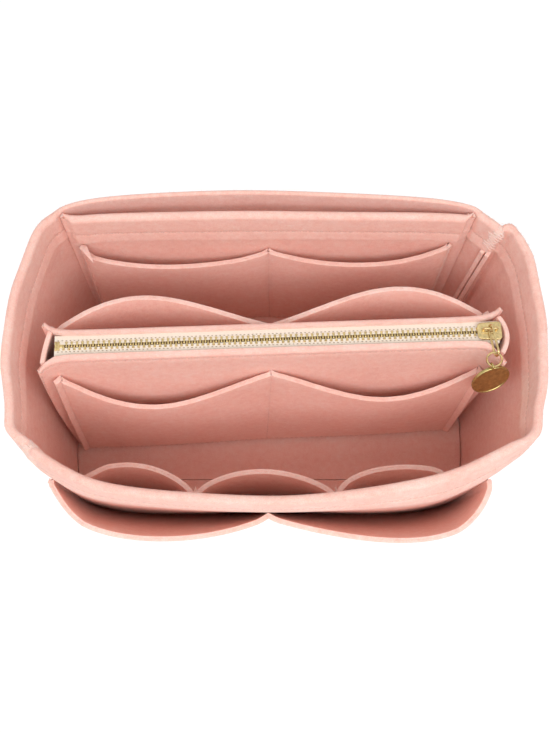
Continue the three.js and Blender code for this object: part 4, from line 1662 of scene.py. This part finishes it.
@dataclass
class Zip:
    """The zip: two tapes, two rows of interlocking elements, the stops and the slider's body."""

    left: float = -124.0
    right: float = 130.0
    slider: float = 124.4
    height: float = 141.0
    pitch: float = 3.05
    tooth: Triple = (1.42, 2.5, 2.3)
    tooth_back: float = 1.15
    tooth_reach: float = 0.12
    tape_inner: float = 0.9
    tape_outer: float = 6.7
    tape_top: float = 141.35
    tape_stitch: float = 3.4
    turn_down: float = 9.0
    turn_radius: float = 0.6
    cord: float = 0.35
    cord_half: float = 0.65
    tape_thickness: float = 0.7
    stop_length: float = 3.0
    slider_length: float = 14.0
    slider_nose: float = 11.4
    slider_tail: float = 9.4

    def build(self) -> None:
        """Builds every piece of the zip."""
        self.tape("front_zip_tape", -1)
        self.tape("back_zip_tape", 1)
        self.row("front_element_row", -1, 0.5)
        self.row("back_element_row", 1, 1.0)
        self.bottom_stop()
        self.top_stop("front_top_stop", -1)
        self.top_stop("back_top_stop", 1)
        self.slider_body()

    def tape(self, node: str, side: int) -> None:
        """Builds one tape, corded along its inner edge and turned down inside the panel.

        Args:
            node: the solid that it stands for.
            side: -1 for the front and 1 for the back.
        """
        flat, radius = self.tape_outer - self.tape_inner, self.turn_radius
        steps = np.concatenate([np.linspace(0, 2 * self.cord_half, 6), np.linspace(1.7, flat - radius, 6),
                                flat - radius + 0.94 * np.linspace(0.2, 1, 4),
                                flat + 0.3 + np.linspace(1, self.turn_down - 0.8, 4)])
        total = steps[-1]

        def surface(u: Array, v: Array) -> Array:
            """Places points of the tape's upper face.

            Args:
                u: shares along it.
                v: shares out from its corded edge.

            Returns:
                The points, one row each.
            """
            reach = v * total
            cord = self.cord * np.cos(np.clip((reach - self.cord_half) / self.cord_half, -1, 1) * np.pi / 2)
            angle = np.clip((reach - flat + radius) / radius, 0, np.pi / 2)
            across = np.minimum(reach, flat - radius) + radius * np.sin(angle)
            drop = radius * (1 - np.cos(angle)) + np.maximum(0, reach - flat + radius - radius * np.pi / 2)
            x = self.left + (self.right - self.left) * u
            y = side * (self.tape_inner + across)
            return POUCH.placed(np.stack([x, y, self.tape_top - drop + cord], axis=-1))

        Sheet(node + "_weave", node, "pouch", surface, np.linspace(0, 1, 128), steps / total, -side,
              (self.right - self.left, total), Hold.FOLDED, ("pouch_front_panel_felt",), "zip_tape",
              self.tape_thickness, 0.0, (TAPE_CREAM, TAPE_CREAM)).make()

    def row(self, node: str, side: int, offset: float) -> None:
        """Builds one row of elements: each grips the cord with two legs and hooks between its neighbours.

        Args:
            node: the solid that it stands for.
            side: -1 for the front and 1 for the back.
            offset: how many pitches from the stop the first element is.
        """
        tooth = started(bpy.ops.mesh.primitive_cube_add, size=1)
        points = coordinates(tooth) * np.array(self.tooth)
        points[:, 1] -= self.tooth_back
        move_to(tooth, points * MM)
        with editing("DESELECT"):
            pass
        for face in tooth.data.polygons:
            face.select = face.normal.y > 0.9
        bpy.ops.object.mode_set(mode="EDIT")
        bpy.ops.transform.resize(value=(0.62, 1, 0.8))
        for length, scale in ((0.45, (1.25, 1, 1)), (0.35, (0.7, 1, 0.75))):
            bpy.ops.mesh.extrude_region_move(TRANSFORM_OT_translate={"value": (0, length * MM, 0)})
            bpy.ops.transform.resize(value=scale)
        bpy.ops.object.mode_set(mode="OBJECT")
        bevel(tooth, 0.16, 1, 40)
        apply_modifiers(tooth)
        tooth.data.materials.append(GOLD)
        start = self.left + self.stop_length + 0.8
        end = self.slider + self.slider_length / 2 - 3.6
        facing = Matrix.Rotation(math.radians(POUCH.yaw + (0 if side < 0 else 180)), 4, "Z")
        places = []
        for x in np.arange(start + self.pitch * offset, end, self.pitch):
            spot = POUCH.matrix() @ Vector((x, side * self.tooth_reach, self.height))
            places.append(Matrix.Translation(spot * MM) @ facing)
        piece = repeated(tooth, places, node + "_elements")
        piece.data.polygons.foreach_set("use_smooth", [False] * len(piece.data.polygons))
        hand_over(piece, "pouch", node)

    def block(self, x: Sequence[float], y: Sequence[float], z: Sequence[float], width: float,
              segments: int = 3, tail: float = 1.0, upright: float = 0.0) -> Piece:
        """Adds a rounded block between spans in the pouch's frame.

        Args:
            x: its ends along the zip.
            y: its sides.
            z: its foot and top, from the middle of the zip's height.
            width: how wide its rounded edges are.
            segments: how many faces a rounded edge has across.
            tail: the width of its left end, as a share of the right end's.
            upright: how wide its upright edges are rounded before that.

        Returns:
            The block, in metres and still in the pouch's own frame.
        """
        block = started(bpy.ops.mesh.primitive_cube_add, size=1)
        low, high = (np.array(Vector((x[k], y[k], self.height + z[k]))) for k in (0, 1))
        share = coordinates(block) + 0.5
        points = low + share * (high - low)
        points[share[:, 0] < 0.5, 1] *= tail
        move_to(block, points * MM)
        if upright:
            with editing("DESELECT"):
                pass
            points = coordinates(block)
            for edge in block.data.edges:
                near, far = points[edge.vertices[0]], points[edge.vertices[1]]
                edge.select = bool(np.linalg.norm((near - far)[:2]) < 1e-6)
            bpy.ops.object.mode_set(mode="EDIT")
            bpy.ops.mesh.select_mode(type="EDGE")
            bpy.ops.mesh.bevel(offset=upright * MM, segments=5)
            bpy.ops.object.mode_set(mode="OBJECT")
        bevel(block, width, segments, 40)
        apply_modifiers(block, 35)
        return block

    def join(self, blocks: list[Piece], name: str, node: str, body: str = "pouch") -> None:
        """Joins blocks into one gold piece, places it in the tote's frame and hands it over.

        Args:
            blocks: the blocks.
            name: the piece's name.
            node: the solid that it stands for.
            body: the body that it rides on.
        """
        deselect()
        for block in blocks:
            block.select_set(True)
        bpy.context.view_layer.objects.active = blocks[0]
        if len(blocks) > 1:
            bpy.ops.object.join()
        piece = bpy.context.object
        piece.name = piece.data.name = name
        piece.data.materials.append(GOLD)
        turn = POUCH.matrix()
        move_to(piece, coordinates(piece) @ np.array(turn.to_3x3()).T + np.array(turn.translation) * MM)
        hand_over(piece, body, node)

    def bottom_stop(self) -> None:
        """Builds the clip that closes the left end, with a groove across it and a tongue to the elements."""
        low, high = self.left + 0.2, self.left + self.stop_length
        rows = (((low, low + 1.2), 2.7, 1.25, 0.35), ((low + 1.6, high), 2.7, 1.25, 0.35),
                ((low + 0.3, high - 0.3), 2.3, 0.9, 0.2), ((high - 0.5, high + 1.9), 1.0, 0.8, 0.3))
        self.join([self.block(x, (-half, half), (-rise, rise), width) for x, half, rise, width in rows],
                  "bottom_stop_clip", "bottom_stop")

    def top_stop(self, node: str, side: int) -> None:
        """Builds the clip on one tape at the right end.

        Args:
            node: the solid that it stands for.
            side: -1 for the front and 1 for the back.
        """
        clip = self.block((self.right - 1.6, self.right), sorted((side * 1.4, side * 2.9)), (-1.2, 1.2), 0.3)
        self.join([clip], node + "_clip", node)

    def slider_body(self) -> None:
        """Builds the slider: two plates with lips, joined by the divider at the nose, and a saddle on top."""
        half, nose, tail = self.slider_length / 2, self.slider_nose / 2, self.slider_tail / self.slider_nose
        low, high = self.slider - half, self.slider + half
        blocks = [self.block((low, high), (-nose, nose), z, 0.35, 3, tail, 2.2) for z in ((1.5, 2.4), (-2.4, -1.5))]
        blocks += [self.block((low + 2.2, high - 2.2), sorted((side * (nose - 0.9), side * nose)), z, 0.25, 2, 0.87)
                   for side in (-1, 1) for z in ((0.72, 2.1), (-2.1, -0.72))]
        blocks.append(self.block((high - 3, high - 0.5), (-1.1, 1.1), (-2, 2), 0.4))
        blocks.append(self.block((low + 2.4, high - 2.4), (-1.7, 1.7), (2.2, 2.65), 0.22, 2))
        self.join(blocks, "slider_body_shell", "slider_body", "slider")

    def sew(self, stitching: Stitching) -> None:
        """Sews each tape along its length.

        Args:
            stitching: the thread.
        """
        x = np.linspace(self.left + 1, self.right - 1, 60)
        for side in (-1, 1):
            line = np.broadcast_arrays(x, side * self.tape_stitch, self.tape_top - 0.05)
            stitching.run(POUCH.placed(np.stack(line, axis=-1)), np.tile(UP, (60, 1)))


@dataclass
class Strips:
    """The hook-and-loop tapes under the pouch: the loops on the tote's floor and the hooks on the gusset."""

    length: float = 150.0
    width: float = 20.0
    thickness: float = 1.5
    corner: float = 3.0

    def build(self) -> None:
        """Builds both strips."""
        self.strip("loop_strip", "tote", TOTE.inside_floor, "base_panel_felt")
        self.strip("hook_strip", "pouch", TOTE.inside_floor + self.thickness + FELT.gap, "loop_strip_tape")

    def strip(self, node: str, body: str, foot: float, under: str) -> None:
        """Builds one strip with rounded corners.

        Args:
            node: the solid that it stands for.
            body: the body that it rides on.
            foot: the height of its underside.
            under: the piece that it rests on.
        """
        def surface(u: Array, v: Array) -> Array:
            """Places points of the strip's underside.

            Args:
                u: shares along.
                v: shares across.

            Returns:
                The points, one row each.
            """
            x = self.length * (u - 0.5)
            over = np.clip(np.abs(x) - self.length / 2 + self.corner, 0, self.corner)
            half = self.width / 2 - self.corner + np.sqrt(self.corner**2 - over**2)
            angle = math.radians(POUCH.yaw)
            y = half * (2 * v - 1)
            return np.stack([x * math.cos(angle) - y * math.sin(angle) + POUCH.right,
                             x * math.sin(angle) + y * math.cos(angle) - POUCH.front, np.full_like(x, foot)], axis=-1)

        ends = np.linspace(0, self.corner / self.length, 6)
        corners = ends * 0.999 + 1e-5
        columns = np.unique(np.concatenate([corners, np.linspace(0.03, 0.97, 48), 1 - ends * 0.999 - 1e-5]))
        Sheet(node + "_tape", node, body, surface, columns, np.linspace(0, 1, 9), 1,
              (self.length, self.width), Hold.LAID, (under,), "fastener_tape", self.thickness, 0.0,
              (STRIP_PINK, STRIP_PINK)).make()


@dataclass
class Studio:
    """Camera, lamp, floor and background. The focal length is known in pixels of the photograph's height."""

    eye: Triple = (4.0, -223.9, 704.7)
    aim: Triple = (4.0, 1.0, 80.0)
    focal_pixels: float = 1058
    frame_pixels: float = 733
    sensor: float = 36
    lamp_place: Triple = (0.05, -0.75, 1.25)
    lamp_aim: Triple = (0, 0, 0.08)
    lamp_size: Pair = (2.4, 0.6)
    lamp_power: float = 14.0
    surround: float = 0.67
    paper: float = 0.86
    glow: float = 1.12
    glow_share: float = 0.8

    def place(self, name: str, data: bpy.types.ID, eye: Vector, aim: Vector) -> Piece:
        """Adds a camera or lamp that points at a place.

        Args:
            name: its name.
            data: its settings.
            eye: where it is, in metres.
            aim: where it points, in metres.

        Returns:
            The object.
        """
        holder = bpy.data.objects.new(name, data)
        holder.location = eye
        holder.rotation_euler = (aim - eye).to_track_quat("-Z", "Y").to_euler()
        bpy.context.scene.collection.objects.link(holder)
        return holder

    def camera(self) -> None:
        """Places the camera at the photograph's viewing angle."""
        data = bpy.data.cameras.new("camera")
        data.sensor_width = self.sensor
        data.lens = self.focal_pixels * self.sensor / self.frame_pixels
        data.clip_start = 0.01
        bpy.context.scene.camera = self.place("camera", data, Vector(self.eye) * MM, Vector(self.aim) * MM)

    def lamp(self) -> None:
        """Adds one soft lamp above the front."""
        data = bpy.data.lights.new("front", "AREA")
        data.shape = "RECTANGLE"
        data.size, data.size_y = self.lamp_size
        data.energy = self.lamp_power
        self.place("front", data, Vector(self.lamp_place), Vector(self.lamp_aim))

    def white_for_rays(self, tree: bpy.types.NodeTree) -> Socket:
        """Tells rays from the camera, a glossy surface or a clear one from the rest.

        Args:
            tree: the node tree that the answer is for.

        Returns:
            1 for those rays and 0 for others.
        """
        path = add_node(tree, "LightPath")
        total = path.outputs["Is Camera Ray"]
        for name in ("Is Glossy Ray", "Is Transmission Ray"):
            node = add_node(tree, "Math", "MAXIMUM")
            tree.links.new(total, node.inputs[0])
            tree.links.new(path.outputs[name], node.inputs[1])
            total = node.outputs["Value"]
        return total

    def floor(self) -> None:
        """Lays a pale floor that keeps a faint shadow under a white background."""
        floor = started(bpy.ops.mesh.primitive_plane_add, "floor", size=6, location=(0, 0, -0.00005))
        material = bpy.data.materials.new("floor_paper")
        material.use_nodes = True
        tree = material.node_tree
        paper = tree.nodes["Principled BSDF"]
        paper.inputs["Base Color"].default_value = (self.paper, self.paper, self.paper, 1)
        paper.inputs["Roughness"].default_value = 0.9
        glow = add_node(tree, "Emission", Color=(1, 1, 1, 1), Strength=self.glow)
        mix = add_node(tree, "MixShader")
        share = add_node(tree, "Math", "MULTIPLY")
        share.inputs[1].default_value = self.glow_share
        for source, target in (
                (self.white_for_rays(tree), share.inputs[0]), (share.outputs["Value"], mix.inputs["Fac"]),
                (paper.outputs["BSDF"], mix.inputs[1]), (glow.outputs["Emission"], mix.inputs[2]),
                (mix.outputs["Shader"], tree.nodes["Material Output"].inputs["Surface"])):
            tree.links.new(source, target)
        floor.data.materials.append(material)

    def world(self) -> None:
        """Sets a plain white surround, softer as light than as a background."""
        world = bpy.data.worlds.new("surround")
        bpy.context.scene.world = world
        world.use_nodes = True
        tree = world.node_tree
        ground = tree.nodes["Background"]
        ground.inputs["Color"].default_value = (1, 1, 1, 1)
        strength = add_node(tree, "MapRange", To_Min=self.surround, To_Max=1.0)
        tree.links.new(self.white_for_rays(tree), strength.inputs["Value"])
        tree.links.new(strength.outputs["Result"], ground.inputs["Strength"])

    def build(self) -> None:
        """Sets up the whole studio."""
        for step in (self.camera, self.floor, self.world, self.lamp):
            step()
        bpy.context.scene.view_settings.view_transform = "Standard"


def dress_nodes() -> None:
    """Gives the solids that stay in view their finishes."""
    # The disc tag takes the gold plate with painted shade.
    finishes = {"slider_crown": GOLD, "pull_link": GOLD, "connecting_ring": GOLD, "disc_tag": GOLD_PAINTED_SHADE}
    for node, material in finishes.items():
        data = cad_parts[node].data
        data.materials.clear()
        data.materials.append(material)


def main() -> None:
    """Builds the studio and the object."""
    logging.basicConfig(level=logging.INFO, format="%(message)s")
    Studio().build()
    shell, slip, pouch, seams, zipper = ToteShell(), SlipPanel(), Pouch(), Seams(), Zip()
    for assembly in (shell, slip, INNER_FRONT, OUTER_FRONT, seams, Strips(), pouch, zipper):
        assembly.build()
    threads = ((Stitching("tote_stitching", "tote", THREAD_PINK), (shell, slip, INNER_FRONT, OUTER_FRONT)),
               (Stitching("pouch_stitching", "pouch", THREAD_PINK), (pouch,)),
               (Stitching("seam_bar_tacks", "tote", YARN_PALE, radius=0.6), (seams,)),
               (Stitching("tape_stitching", "pouch", THREAD_CREAM_PAINTED_SHADE, "zip_tape", 2.3, 1.2, 0.28), (zipper,)))
    for thread, assemblies in threads:
        for assembly in assemblies:
            assembly.sew(thread)
    for thread, _ in threads:
        thread.make()
    tote_fuzz, pouch_fuzz = Fuzz("tote_fibres", "tote"), Fuzz("pouch_fibres", "pouch")
    shell.fray(tote_fuzz)
    middle = FELT.thickness / 2
    for seed, pockets in enumerate((slip.pockets, INNER_FRONT, OUTER_FRONT), 20):
        tote_fuzz.edge(pockets.surface, middle, seed)
    for seed, pockets in enumerate(pouch.pockets, 30):
        pouch_fuzz.edge(pockets.surface, middle, seed)
    for side in (-1, 1):
        pouch_fuzz.edge(partial(pouch.face, side), 0.0, 40 + side)
    for fuzz in (tote_fuzz, pouch_fuzz):
        fuzz.make()
    dress_nodes()


if __name__ == "__main__":
    main()
